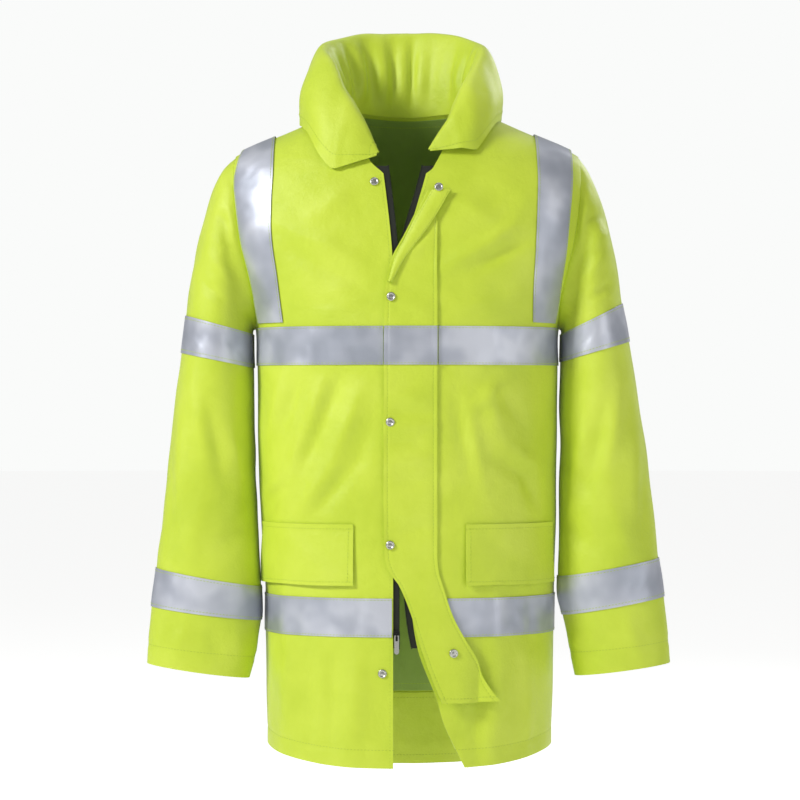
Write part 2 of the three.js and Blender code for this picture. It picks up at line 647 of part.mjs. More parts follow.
// The reflective bands round the body, and the braces over the shoulders
const CHEST_ROWS = rowsBetween(UNDERARM_Z, CHEST_BAND_BOTTOM_Z);
const HEM_BAND_ROWS = rowsBetween(HEM_BAND_TOP_Z, HEM_BAND_BOTTOM_Z);
const BRACE_ROWS = rowsBetween(NECK_ROWS[1], UNDERARM_Z);
const SIDE_CLEARANCE = 0.6;
const BAND_STRIPS = 14;
const BRACE_STRIPS = 4;
const BRACE_LIFT = 1;
const BRACE_SHOULDER_LIFT = 3;
const POCKET_STRIPS = 9;
const sideX = (row) => Math.max(...row.map((point) => Math.abs(point.x))) - SIDE_CLEARANCE;

function bandOn(name, panel, rows, limits, strips) {
  const cut = cutRows(panel, rows, limits, strips);
  add(name, laidPiece(cut, LAID_GAP, TAPE_CLOTH), "reflective");
}
bandOn("chest_band_right", frontLeft, CHEST_ROWS, (i, row) => [-sideX(row), FLAP_FREE_X - 1.5], BAND_STRIPS);
bandOn("chest_band_left", frontRight, CHEST_ROWS, (i, row) => [FLAP_SEAM_X + 1.5, sideX(row)], BAND_STRIPS);
const hemEdge = (row) => Math.min(...row.map((point) => point.x));
bandOn("hem_band_right", frontLeft, HEM_BAND_ROWS, (i, row) => [-sideX(row), -19.5], BAND_STRIPS);
bandOn("hem_band_left", frontRight, HEM_BAND_ROWS, (i, row) => [hemEdge(row) + 47, sideX(row)], BAND_STRIPS);

// A band right round the back keeps the back's own strips.
for (const [name, rows] of [["chest_band_back", CHEST_ROWS], ["hem_band_back", HEM_BAND_ROWS]]) {
  const cut = { grid: rows.map((i) => back.grid[i]), normals: rows.map((i) => back.normals[i]) };
  add(name, laidPiece(cut, LAID_GAP, TAPE_CLOTH), "reflective");
}

const BRACE_SIDES = [["left", -1, frontLeft, "right"], ["right", 1, frontRight, "left"]];
for (const [side, sign, front, wearer] of BRACE_SIDES) {
  for (const [panel, where] of [[front, "front"], [back, "back"]]) {
    const rows = BRACE_ROWS.filter((i) => {
      const reach = Math.max(...panel.grid[i].map((point) => sign * point.x));
      return reach > Math.abs(read(BRACES[side], "z", PANEL_ROWS[i], "inner")) + 20;
    }).slice(0, -1);
    const limits = (i, row) => {
      const z = PANEL_ROWS[i];
      const reach = Math.max(...row.map((point) => sign * point.x));
      const clearance = isSeamRow(z) ? SIDE_CLEARANCE : BRACE_SEAM_CLEARANCE;
      const outer = sign * Math.min(reach - clearance, Math.abs(read(BRACES[side], "z", z, "outer")));
      const inner = read(BRACES[side], "z", z, "inner");
      return sign < 0 ? [outer, inner] : [inner, outer];
    };
    const cut = cutRows(panel, rows, limits, BRACE_STRIPS);
    const lift = (k) => mix(BRACE_LIFT, BRACE_SHOULDER_LIFT, smooth(-95, -52, PANEL_ROWS[rows[k]]));
    add(`brace_${where}_${wearer}`, laidPiece(cut, lift, TAPE_CLOTH), "reflective");
  }
}

// The pocket flaps, whose lower edges stand a little off the fronts
const POCKET_ROWS = rowsBetween(POCKET_TOP_Z, POCKET_BOTTOM_Z);
for (const [side, panel, wearer] of [["left", frontLeft, "right"], ["right", frontRight, "left"]]) {
  const cut = cutRows(panel, POCKET_ROWS, () => POCKETS[side], POCKET_STRIPS);
  const lift = (i) => LAID_GAP + (POCKET_FLAP_SWING * i) / (POCKET_ROWS.length - 1);
  add(`pocket_flap_${wearer}`, laidPiece(cut, lift, FLAP_CLOTH), "yellow");
}

// The storm flap lies over both fronts. Above it starts along the V, and below it turns out with the
// swung edge of the front that it is sewn to.
const FLAP_LIFT = 1;
const FLAP_LINE = [
  { z: -100, free: 33, seam: 45 },
  { z: -118, free: 24, seam: 42 },
  { z: -145, free: 11, seam: 39 },
  { z: -175, free: -4, seam: 38 },
  { z: -205, free: -20, seam: FLAP_SEAM_X },
  { z: -235, free: -27, seam: FLAP_SEAM_X },
  { z: -262, free: FLAP_FREE_X, seam: FLAP_SEAM_X },
  { z: -582, free: FLAP_FREE_X, seam: FLAP_SEAM_X },
  { z: -604, free: -22, seam: 40 },
  { z: -621, free: -10, seam: 45 },
  { z: -661, free: 6, seam: 58 },
  { z: -700, free: 17, seam: 78 },
  { z: -750, free: 35, seam: 104 },
  { z: -800, free: 57, seam: 132 },
];
const FLAP_TOP_ROW = rowAt(-118);
const FLAP_ROWS = [];
for (let i = FLAP_TOP_ROW; i <= rowAt(HEM_BAND_BOTTOM_Z) + 2; i += 1) FLAP_ROWS.push(i);
const FLAP_BOTTOM_SWING = 9;

const flapCut = cutBoth(
  FLAP_ROWS,
  (i, middle) => [read(FLAP_LINE, "z", middle, "free"), read(FLAP_LINE, "z", middle, "seam")],
  5,
);
const flapSwing = (i) => FLAP_LIFT + FLAP_BOTTOM_SWING * smooth(-600, -760, flapCut.grid[i][0].z);
add("storm_flap", laidPiece(flapCut, flapSwing, FLAP_CLOTH), "yellow");

// The tape across the flap
const flapBandRows = CHEST_ROWS.map((i) => i - FLAP_TOP_ROW);
const flapBand = {
  grid: flapBandRows.map((i) => flapCut.grid[i]),
  normals: flapBandRows.map((i) => flapCut.normals[i]),
};
add("chest_band_flap", laidPiece(flapBand, FLAP_LIFT + FLAP_CLOTH + LAID_GAP, TAPE_CLOTH), "reflective");

// The storm flap's top corner, turned back into a narrow fold that lies on the flap
const TURNED_LINE = [
  { z: -110, from: 36, to: 60 },
  { z: -145, from: 16, to: 40 },
  { z: -175, from: 0, to: 20 },
  { z: -205, from: -16, to: -3 },
  { z: -235, from: -25, to: -19 },
];
const TURNED_ROWS = rowsBetween(-118, -235);
const turnedCut = cutBoth(
  TURNED_ROWS,
  (i, middle) => [read(TURNED_LINE, "z", middle, "from"), read(TURNED_LINE, "z", middle, "to")],
  3,
);
const TURNED_LIFT = FLAP_LIFT + FLAP_CLOTH + 0.6;
const TURNED_ROLL = [0, 2, 2.4, 1.2];
const turnedLift = (i, j) => TURNED_LIFT + TURNED_ROLL[j];
add("storm_flap_turned_top", laidPiece(turnedCut, turnedLift, FLAP_CLOTH), "yellow");

// The collar: one folded cloth that stands up from the neck seam, rolls over and falls outside.
const COLLAR_STEPS = 3;
const FALL_CLEARANCE = 4;
const NECK_GAP = 0.6;
const GATHERS = { depth: 2.5, count: 12 };

function sectionCurve(base, row, way, turn) {
  const at = (r, z) => {
    const radians = THREE.MathUtils.degToRad(turn);
    return new THREE.Vector3(way * r * Math.sin(radians), r * Math.cos(radians), z);
  };
  const gather = GATHERS.depth * Math.sin(THREE.MathUtils.degToRad(GATHERS.count * turn));
  const gathered = gather * smooth(80, 50, turn);
  return new THREE.CatmullRomCurve3([
    base,
    at(row.mouthR + gathered, row.mouthZ),
    at(row.crestR, row.crestZ),
    at(row.bulgeR, row.bulgeZ),
    clearOfBody(at(row.fallR, row.fallZ)),
  ], false, "centripetal");
}

// Moves a point straight out from the neck until it stands clear of the shoulders.
function clearOfBody(point) {
  const result = point.clone();
  for (let step = 0; step < 60; step += 1) {
    const square = read(BODY, "z", result.z, "square");
    const halfWidth = read(BODY, "z", result.z, result.x < 0 ? "left" : "right") + FALL_CLEARANCE;
    const halfDepth = read(BODY, "z", result.z, result.y < 0 ? "front" : "back") + FALL_CLEARANCE;
    const level = (Math.abs(result.x) / halfWidth) ** square + (Math.abs(result.y) / halfDepth) ** square;
    if (result.z > 0 || level >= 1) return result;
    result.z += 1;
  }
  return result;
}

function neckBase(panel, column) {
  const up = panel.grid[0][column].clone().sub(panel.grid[1][column]).normalize();
  return {
    within: panel.inner[0][column].clone().addScaledVector(up, NECK_GAP),
    outside: panel.grid[0][column].clone().addScaledVector(up, NECK_GAP),
  };
}

function collarGeometry() {
  const bases = [];
  for (let j = FRONT_STRIPS; j > 0; j -= 1) bases.push(neckBase(frontLeft, j));
  for (let j = BACK_STRIPS; j >= 0; j -= 1) bases.push(neckBase(back, j));
  for (let j = 1; j <= FRONT_STRIPS; j += 1) bases.push(neckBase(frontRight, j));
  const columns = bases.map(({ outside }) => {
    const way = outside.x < 0 ? -1 : 1;
    const turn = THREE.MathUtils.radToDeg(Math.atan2(Math.abs(outside.x), outside.y));
    const table = way < 0 ? COLLAR_LEFT : COLLAR_RIGHT;
    const row = {};
    for (const key of Object.keys(table[0])) row[key] = read(table, "turn", turn, key);
    return sectionCurve(outside, row, way, turn).getPoints(4 * COLLAR_STEPS);
  });
  const outer = columns[0].map((point, i) => columns.map((column) => column[i]));
  const normals = outer.map((row, i) => row.map((point, j) => {
    const along = columns[Math.min(j + 1, columns.length - 1)][i].clone().sub(columns[Math.max(j - 1, 0)][i]);
    const up = columns[j][Math.min(i + 1, 4 * COLLAR_STEPS)].clone().sub(columns[j][Math.max(i - 1, 0)]);
    return new THREE.Vector3().crossVectors(up, along).normalize();
  }));
  const inner = moved(outer, normals, -COLLAR_CLOTH);
  inner[0] = bases.map((base) => base.within);
  return wallGeometry(outer, inner, false);
}
add("collar", collarGeometry(), "yellow");

// The lining of the back and the hem facing below it, made from the back's inner points
const LINING_MARGIN = 3;
function linerOf(rows, heightOf) {
  const columns = back.inner[0].slice(LINING_MARGIN, -LINING_MARGIN).map((point, k) => k + LINING_MARGIN);
  const grid = rows.map((i) => columns.map((j) => heightOf(i, j)));
  const normals = rows.map((i) => columns.map((j) => back.normals[Math.min(i, back.grid.length - 1)][j]));
  const near = moved(grid, normals, -LAID_GAP);
  return wallGeometry(near, moved(near, normals, -LINING_CLOTH), false);
}
const LAST_ROW = back.grid.length - 1;
const LINING_END_ROW = LAST_ROW - 2;
const liningRows = Array.from({ length: LINING_END_ROW }, (unused, k) => k + 1);
const facingRows = [LINING_END_ROW, LINING_END_ROW + 1, LAST_ROW];
add("back_lining", linerOf(liningRows, (i, j) => back.inner[i][j]), "lining");
add("hem_facing", linerOf(facingRows, (i, j) => {
  if (i === LINING_END_ROW) return back.inner[i][j].clone().lerp(back.inner[i + 1][j], 0.05);
  if (i === LAST_ROW) return back.inner[i][j].clone().lerp(back.inner[i - 1][j], 0.05);
  return back.inner[i][j];
}), "yellow");

// The zip's tapes lie behind the fronts' edges and show beside them in the V and below.
const ZIP_DEPTH = CLOTH + 0.9;
const ZIP_TAPE_SHOWN = 7.6;
const ZIP_TAPE_HIDDEN = 8;
const ZIP_TAPE_BOTTOM_Z = -700;
const ZIP_TAPE_CLOTH = 1.2;
const ZIP_ROWS = [
  -84, -118, -155, -195, -235, -300, -370, -440, -510, -580, -612, -640, -670, ZIP_TAPE_BOTTOM_Z,
];

function zipTapeGeometry(edgeColumn, way) {
  const outer = [];
  const inner = [];
  for (const z of ZIP_ROWS) {
    const edge = read(EDGES, "z", z, edgeColumn);
    const reach = [edge - way * ZIP_TAPE_HIDDEN, edge, edge + way * ZIP_TAPE_SHOWN];
    const points = reach.map((x) => onBody(angleAt(x, z), z));
    outer.push(points.map((point) => point.clone().add(new THREE.Vector3(0, ZIP_DEPTH, 0))));
    inner.push(points.map((point) => point.clone().add(new THREE.Vector3(0, ZIP_DEPTH + ZIP_TAPE_CLOTH, 0))));
  }
  return wallGeometry(outer, inner, false);
}
add("zip_tape_right", zipTapeGeometry("left", 1), "zip");
add("zip_tape_left", zipTapeGeometry("right", -1), "zip");

// The slider rests at the lower end of the tape that shows, and its pull tab hangs from the bridge.
const SLIDER = { x: -13.5, z: -684, width: 8, height: 12, depth: 3.6 };
const BRIDGE = { width: 1.8, length: 7, bar: 1.2, hollow: 2.4 };
const PULL = { width: 6, length: 24, cloth: 1.2, window: 3, windowLength: 6 };

const wasm = await Module();
wasm.setup();

function toSolid(geometry) {
  const plain = geometry.index ? geometry.clone() : geometry;
  plain.deleteAttribute("normal");
  plain.deleteAttribute("uv");
  const merged = mergeVertices(plain, 1e-4);
  return new wasm.Manifold(new wasm.Mesh({
    numProp: 3,
    vertProperties: new Float32Array(merged.getAttribute("position").array),
    triVerts: new Uint32Array(merged.getIndex().array),
  }));
}

function fromSolid(solid) {
  const mesh = solid.getMesh();
  const geometry = new THREE.BufferGeometry();
  geometry.setAttribute("position", new THREE.Float32BufferAttribute(mesh.vertProperties, 3));
  geometry.setIndex(Array.from(mesh.triVerts));
  geometry.computeVertexNormals();
  return geometry;
}

function block(width, depth, height, x, y, z) {
  return toSolid(new THREE.BoxGeometry(width, depth, height).translate(x, y, z));
}

const sliderFrontY = onBody(angleAt(SLIDER.x, SLIDER.z), SLIDER.z).y + ZIP_DEPTH - LAID_GAP - SLIDER.depth;
const sliderMiddleY = sliderFrontY + SLIDER.depth / 2;

function sliderGeometry() {
  const body = block(SLIDER.width, SLIDER.depth, SLIDER.height, SLIDER.x, sliderMiddleY, SLIDER.z);
  const barY = sliderFrontY - BRIDGE.hollow - BRIDGE.bar / 2;
  const bar = block(BRIDGE.width, BRIDGE.bar, BRIDGE.length, SLIDER.x, barY, SLIDER.z);
  const postDepth = BRIDGE.hollow + BRIDGE.bar + 1;
  const postY = sliderFrontY - BRIDGE.hollow - BRIDGE.bar + postDepth / 2;
  const postZ = (BRIDGE.length - BRIDGE.bar) / 2;
  const posts = [-1, 1].map((way) =>
    block(BRIDGE.width, postDepth, BRIDGE.bar, SLIDER.x, postY, SLIDER.z + way * postZ));
  return fromSolid(posts.reduce((solid, post) => solid.add(post), body.add(bar)));
}

// The pull tab's own place is its pivot, the middle of the crossbar that runs under the bridge.
function pullGeometry() {
  const half = PULL.width / 2;
  const top = PULL.cloth / 2;
  const outline = new THREE.Shape();
  outline.moveTo(-half, top);
  outline.lineTo(-half, top - PULL.length + half);
  outline.absarc(0, top - PULL.length + half, half, Math.PI, 2 * Math.PI, false);
  outline.lineTo(half, top);
  outline.closePath();
  const slot = new THREE.Path();
  const slotTop = -PULL.cloth / 2;
  slot.moveTo(-PULL.window / 2, slotTop);
  slot.lineTo(PULL.window / 2, slotTop);
  slot.lineTo(PULL.window / 2, slotTop - PULL.windowLength);
  slot.lineTo(-PULL.window / 2, slotTop - PULL.windowLength);
  slot.closePath();
  outline.holes.push(slot);
  const settings = { depth: PULL.cloth, bevelEnabled: false, curveSegments: 10 };
  const tab = new THREE.ExtrudeGeometry(outline, settings);
  return tab.translate(0, 0, -PULL.cloth / 2).rotateX(Math.PI / 2);
}

add("zip_slider", sliderGeometry(), "zip");
const pull = add("zip_pull", pullGeometry(), "steel");
pull.position.set(SLIDER.x, sliderFrontY - BRIDGE.hollow / 2, SLIDER.z);

// The press studs: caps that stand on the cloth, as seen from the front
const STUD = { radius: 5.6, rim: 1, height: 2.4, sides: 14 };
const STUDS = [
  { name: "stud_flap_1", x: -20.5, z: -254, on: "flap" },
  { name: "stud_flap_2", x: -21.5, z: -413, on: "flap" },
  { name: "stud_flap_3", x: -21.5, z: -569, on: "flap" },
  { name: "stud_flap_top", x: 40, z: -116, on: "turned" },
  { name: "stud_flap_bottom", x: 57, z: -706, on: "flap" },
  { name: "stud_front_top", x: -42, z: -106, on: "front" },
  { name: "stud_front_bottom", x: -31.5, z: -732, on: "front" },
];
const STUD_SEAT = { front: 0.35, flap: 0.8, turned: 0.8 };

function studGeometry() {
  const { radius, rim, height, sides } = STUD;
  const profile = [
    new THREE.Vector2(0, 0),
    new THREE.Vector2(radius, 0),
    new THREE.Vector2(radius, height - rim),
    new THREE.Vector2(radius - rim, height),
    new THREE.Vector2(radius * 0.55, height - 0.5),
    new THREE.Vector2(0, height - 0.3),
  ];
  return new THREE.LatheGeometry(profile, sides);
}

// The highest of the cloth that carries a stud, with its direction.
function studSeat({ x, z, on }) {
  const point = onBody(angleAt(x, z), z);
  const step = 4;
  const across = onBody(angleAt(x + step, z), z).sub(onBody(angleAt(x - step, z), z));
  const up = onBody(angleAt(x, z + step), z + step).sub(onBody(angleAt(x, z - step), z - step));
  const normal = new THREE.Vector3().crossVectors(across, up).normalize();
  const swing = FLAP_BOTTOM_SWING * smooth(-600, -760, z);
  const lifts = {
    front: 0,
    flap: FLAP_LIFT + FLAP_CLOTH + swing,
    turned: TURNED_LIFT + TURNED_ROLL[1] + FLAP_CLOTH,
  };
  return { point: point.addScaledVector(normal, lifts[on] + STUD_SEAT[on]), normal };
}

for (const stud of STUDS) {
  const { point, normal } = studSeat(stud);
  const mesh = add(stud.name, studGeometry(), "steel");
  mesh.position.copy(point);
  mesh.quaternion.setFromUnitVectors(new THREE.Vector3(0, 1, 0), normal);
}

export default jacket;
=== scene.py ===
"""Hi-vis work jacket, filled out as it is worn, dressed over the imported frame.

The form is worked out in millimetres from the same named sizes and tables as the frame's cloth walls, at a
finer step, and every mesh is written in metres. The front faces -Y, and +X is the viewer's right.
"""

import math

import bmesh
import bpy
import numpy as np
from bpy.props import FloatProperty, FloatVectorProperty, IntProperty, PointerProperty
from bpy.types import Operator, Panel, PropertyGroup
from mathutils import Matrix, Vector


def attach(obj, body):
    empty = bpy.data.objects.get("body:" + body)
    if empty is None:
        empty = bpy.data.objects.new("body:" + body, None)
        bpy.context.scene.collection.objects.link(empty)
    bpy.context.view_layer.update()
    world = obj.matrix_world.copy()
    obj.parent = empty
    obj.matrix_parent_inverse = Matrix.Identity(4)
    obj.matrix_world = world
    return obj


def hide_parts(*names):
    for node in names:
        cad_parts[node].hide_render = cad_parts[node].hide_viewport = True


bl_info = {
    "name": "Hi-vis work jacket",
    "version": (1, 0, 0),
    "blender": (4, 5, 0),
    "location": "View3D > Sidebar > Jacket",
    "description": "Builds a hi-vis work jacket with its tape, flap, studs, zip and sewing",
    "category": "Mesh",
}

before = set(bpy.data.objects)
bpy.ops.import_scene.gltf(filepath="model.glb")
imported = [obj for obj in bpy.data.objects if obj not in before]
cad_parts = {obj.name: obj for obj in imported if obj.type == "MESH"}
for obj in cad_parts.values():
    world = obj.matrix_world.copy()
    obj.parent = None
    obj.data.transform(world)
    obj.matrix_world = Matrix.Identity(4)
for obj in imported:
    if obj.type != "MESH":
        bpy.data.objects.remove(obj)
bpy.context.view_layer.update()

MM = 0.001

# Heights and sizes of the cut, in millimetres
CLOTH = 1.6
NECK_HALF_WIDTH = 82
NECK_FRONT_REACH = 100
NECK_BACK_REACH = 75
SHOULDER_TIP_Z = -65
YOKE_Z = -95
UNDERARM_Z = -291
CHEST_BAND_Z = (-291, -340)
POCKET_Z = (-543, -621)
HEM_BAND_Z = (-637, -686)
HEM_START_Z = -686
HEM_FRONT_Z = -852
HEM_BACK_Z = -884
HEM_FRONT_LIFT = 18
HEM_BACK_LIFT = 48
SEAM_DIP = 0.9
SEAM_DIP_WIDTH = 3.0
STITCH_DIP = 0.6
HEM_STITCH_Z = -829
LOOP_STEPS = 4
COLLAR_CLOTH = 2
COLLAR_STRIPS = 40
COLLAR_STEPS = 10
COLLAR_STITCH_SHARE = 0.93
NECK_GAP = 0.6
GATHER_DEPTH = 2.5
SEAM_PART = 0.12
LAID_GAP = 0.4
TAPE_CLOTH = 1
FLAP_CLOTH = 2
LINING_CLOTH = 1
ZIP_DEPTH = 2.5
FLAP_LIFT = 1.2
FLAP_BOTTOM_SWING = 9
FALL_CLEARANCE = 4
TIP_STRIPS = 10
TIP_RIGHT = (-36, -71)
TIP_LEFT = (27, -66)
CUFF_STITCH_ROW = 16.2


def table(columns, *rows):
    """A table with named columns, each an array down the rows."""
    names = columns.split()
    return {name: np.array([row[k] for row in rows], dtype=float) for k, name in enumerate(names)}


# The body's rings: half widths to the left and right, half depths, and squareness (2 is an ellipse)
BODY = table(
    "z left right front back square",
    (0, 82, 82, 72, 72, 2),
    (-30, 149, 149, 82, 90, 2.1),
    (-65, 226, 226, 97, 110, 2.25),
    (-95, 239, 239, 110, 123, 2.6),
    (-130, 241, 241, 121, 133, 2.75),
    (-180, 233, 233, 132, 140, 2.75),
    (-235, 214, 214, 138, 142, 2.6),
    (-291, 198, 198, 141, 141, 2.45),
    (-345, 197, 198, 141, 139, 2.35),
    (-451, 196, 197, 140, 136, 2.3),
    (-543, 192, 196, 140, 138, 2.3),
    (-616, 187, 194, 141, 141, 2.3),
    (-700, 186, 193, 143, 145, 2.3),
    (-884, 183, 189, 148, 150, 2.3),
)

# How far out the armhole seam lies on the front and on the back
ARMHOLE = table(
    "z front back",
    (-65, 226, 226),
    (-95, 227, 226),
    (-130, 224, 222),
    (-180, 217, 214),
    (-206, 211, 208),
    (-231, 205, 203.5),
    (-257, 200, 199.5),
    (-291, 198, 198),
)

# The front edges, parted in a V at the neck and swung open on the viewer's right below
EDGES = table(
    "z left right",
    (-60, -37, 27),
    (-83, -32, 27),
    (-192, -19.5, -2),
    (-235, -19.5, -1.5),
    (-300, -19, -1.5),
    (-580, -18.5, -1.5),
    (-612, -18, 1),
    (-700, -18, 13),
    (-764, -18, 37),
    (-800, -18, 48),
    (-852, -18, 73),
)

# Folds of the body: a soft ridge, or a trough where rise is negative, along a line seen from its side.
# The broad ones are those of the frame, and the narrow ones are creases between them.
FRONT_FOLDS = table(
    "x1 z1 x2 z2 width rise",
    (-108, -366, -126, -423, 8.5, 6.5),
    (-126, -423, -148, -472, 8.5, 6.5),
    (-148, -472, -182, -506, 8.5, 5.8),
    (-84, -350, -112, -419, 10.4, -6.5),
    (-112, -419, -136, -466, 10.4, -6.5),
    (-57, -368, -95, -465, 10.4, 6.5),
    (-95, -465, -130, -522, 10.4, 5.8),
    (-38, -400, -62, -462, 8.5, -5.1),
    (-62, -462, -118, -528, 8.5, -5.1),
    (-36, -450, -52, -520, 7.6, 3.6),
    (-160, -352, -178, -430, 9.5, 4.3),
    (-140, -360, -160, -420, 6.6, -3.6),
    (-150, -470, -186, -530, 8.5, -4.3),
    (-60, -695, -70, -840, 17.1, 5.8),
    (-96, -700, -100, -838, 10.4, -4.6),
    (-128, -690, -124, -840, 15.2, -5.1),
    (-154, -702, -160, -832, 10.4, 4.3),
    (-164, -160, -28, -224, 9.5, 3.5),
    (-150, -195, -40, -250, 9.5, -3.2),
    (-60, -100, -120, -150, 11.4, 3.8),
    (-128, -280, -60, -262, 4.8, 2.3),
    (-100, -262, -45, -276, 4.8, -2.2),
    (134, -165, 86, -194, 8.5, 6.1),
    (86, -194, 39, -220, 8.5, 5.2),
    (154, -181, 86, -216, 7.6, -5.2),
    (78, -100, 128, -125, 13.3, -4.3),
    (60, -130, 104, -152, 8.5, 3.5),
    (130, -258, 60, -266, 5.7, 2.3),
    (150, -268, 110, -282, 4.8, -2.2),
    (85, -394, 123, -363, 9.5, 5.5),
    (105, -372, 120, -440, 12.3, 4.6),
    (111, -461, 152, -483, 8.5, -5.5),
    (152, -483, 166, -520, 8.5, -5.2),
    (130, -440, 165, -470, 8.5, 4.1),
    (60, -372, 78, -470, 8.5, -4.1),
    (74, -380, 98, -500, 7.6, 3.2),
    (120, -372, 150, -420, 7.6, -4.1),
    (122, -690, 106, -840, 17.1, 5.8),
    (90, -702, 84, -838, 10.4, -4.6),
    (152, -700, 154, -832, 10.4, 4.3),
)
# Creases that run into the tape and the pocket flaps
FRONT_BAND_FOLDS = table(
    "x1 z1 x2 z2 width rise",
    (-74, -338, -44, -300, 4, -1.8),
    (-120, -292, -126, -340, 7, 1.4),
    (-66, -684, -56, -634, 4, -2.4),
    (-156, -622, -158, -700, 9, 2.6),
    (-110, -630, -104, -690, 12, -1.7),
    (51, -294, 53, -342, 3.5, -1.6),
    (112, -622, 112, -700, 10, 3.1),
    (160, -625, 156, -698, 8, -2.2),
    (110, -296, 118, -338, 8, 1.4),
    (-150, -560, -100, -610, 9, 1.4),
    (100, -560, 150, -600, 9, -1.4),
)
BACK_FOLDS = table(
    "x1 z1 x2 z2 width rise",
    (-150, -300, -60, -420, 12, 4.5),
    (150, -310, 70, -440, 12, 4.5),
    (-130, -180, -20, -230, 11, -3.4),
    (130, -190, 30, -250, 11, -3.4),
    (-112, -345, -44, -450, 9, -3.2),
    (118, -352, 50, -460, 9, -3.2),
    (-95, -520, -110, -860, 15, 5),
    (-35, -600, -30, -870, 13, -4.6),
    (40, -560, 45, -870, 14, 5),
    (105, -640, 120, -860, 13, -4.6),
    (-150, -360, -120, -470, 8, -2.6),
    (150, -365, 126, -480, 8, -2.6),
    (-60, -360, -16, -450, 8, 2.4),
    (50, -370, 8, -470, 8, 2.4),
    (-120, -120, -50, -140, 9, 2.2),
    (120, -125, 55, -150, 9, 2.2),
    (-100, -215, -30, -262, 7, 2.2),
    (98, -225, 36, -268, 7, 2.2),
    (-70, -500, -78, -610, 8, -2.2),
    (70, -480, 78, -620, 8, -2.2),
    (0, -420, 5, -600, 10, 2.4),
    (-140, -700, -146, -850, 9, -2.4),
    (140, -700, 150, -850, 9, 2.4),
    (10, -700, 8, -875, 9, -2.4),
    (0, -130, 0, -280, 12, -2),
)
SLEEVE_FRONT_FOLDS = table(
    "x1 z1 x2 z2 width rise",
    (261, -138, 232, -156, 6, -3.4),
    (268, -165, 236, -185, 7, 3),
    (274, -228, 238, -254, 6, -3.7),
    (262, -190, 225, -232, 8, 3),
    (229, -105, 222, -190, 7, 3),
    (240, -150, 214, -268, 9, -3.7),
    (288, -205, 262, -246, 7, 2.5),
    (237, -300, 199, -346, 5, -3),
    (282, -296, 262, -330, 5, 2.3),
    (255, -402, 234, -494, 10, -5.3),
    (277, -368, 258, -463, 10, 4.8),
    (229, -425, 214, -493, 8, 3.7),
    (212, -470, 232, -502, 7, -4.1),
    (206, -548, 240, -575, 9, -4.6),
    (300, -400, 297, -520, 13, 3.7),
    (306, -430, 308, -560, 9, -3),
    (262, -520, 284, -580, 12, 3),
    (256, -688, 236, -728, 8, -3.7),
    (285, -672, 302, -724, 9, 3.7),
    (222, -684, 214, -728, 7, 2.8),
    (300, -596, 280, -640, 5, -2.1),
    (318, -608, 296, -632, 5, 2.1),
)
SLEEVE_BACK_FOLDS = table(
    "x1 z1 x2 z2 width rise",
    (215, -200, 270, -250, 12, -4.4),
    (215, -380, 300, -410, 13, 4.4),
    (215, -430, 300, -460, 13, -4.4),
    (215, -560, 300, -590, 13, 4.2),
    (240, -130, 275, -190, 7, 2.6),
    (212, -240, 275, -262, 6, 2.4),
    (212, -352, 285, -366, 7, -2.4),
    (220, -480, 300, -510, 8, -2.8),
    (215, -520, 300, -545, 8, 2.6),
    (220, -690, 300, -715, 8, 2.6),
)

# Where tape and pocket flaps hold the cloth nearly smooth
CALM_ZONES = (CHEST_BAND_Z, (POCKET_Z[0], HEM_BAND_Z[1]))
CALM_FADE = 26
CALM_LEFT = 0.4

# The sleeves' rings from the armhole to the cuff, seen from the front, with middle and half depth
SLEEVE_RIGHT = table(
    "out_x out_z in_x in_z y depth",
    (226, -65, 198, -291, 0, 72),
    (242, -79, 201, -292, 0, 74),
    (255, -106, 203, -293, 0, 76),
    (267, -146, 203.5, -294, -1, 76),
    (278, -190, 203.5, -295, -2, 76),
    (286, -235, 203.5, -296.5, -3, 75),
    (291, -274, 203, -299, -4, 74),
    (294, -299, 202.5, -321, -5, 73),
    (297, -323, 202, -343, -6, 72),
    (305, -385, 201.5, -400, -8, 70),
    (312, -451, 200, -462, -12, 67),
    (319, -517, 197, -532, -17, 62),
    (325, -575, 193, -594, -23, 56),
    (328, -604, 191, -628, -26, 53),
    (331, -629, 190, -650, -28, 50),
    (334, -654, 190.5, -672, -30, 47),
    (338, -696, 197, -712, -33, 43),
    (340, -728, 206, -747, -35, 40),
)
SLEEVE_LEFT = table(
    "out_x out_z in_x in_z y depth",
    (226, -65, 198, -291, 0, 72),
    (239, -82, 201, -292, 0, 74),
    (251, -110, 203, -293, 0, 76),
    (263, -148, 203.5, -294, -1, 76),
    (272, -187, 203.5, -295, -2, 76),
    (278, -225, 203.5, -296.5, -3, 75),
    (283, -258, 203, -299, -4, 74),
    (288, -283, 202.5, -315, -5, 73),
    (292, -308, 202, -335, -6, 72),
    (303, -375, 201.5, -395, -8, 70),
    (313, -445, 201, -460, -12, 66),
    (321, -510, 200, -528, -17, 61),
    (327, -566, 198.5, -588, -23, 55),
    (329, -591, 198, -615, -26, 52),
    (333, -616, 198, -640, -28, 49),
    (336, -641, 203, -665, -30, 46),
    (341, -690, 211, -706, -33, 42),
    (344, -727, 219, -744, -35, 39),
)
UPPER_BAND = (6, 8)
LOWER_BAND = (13, 15)
CUFF_ROW = 17

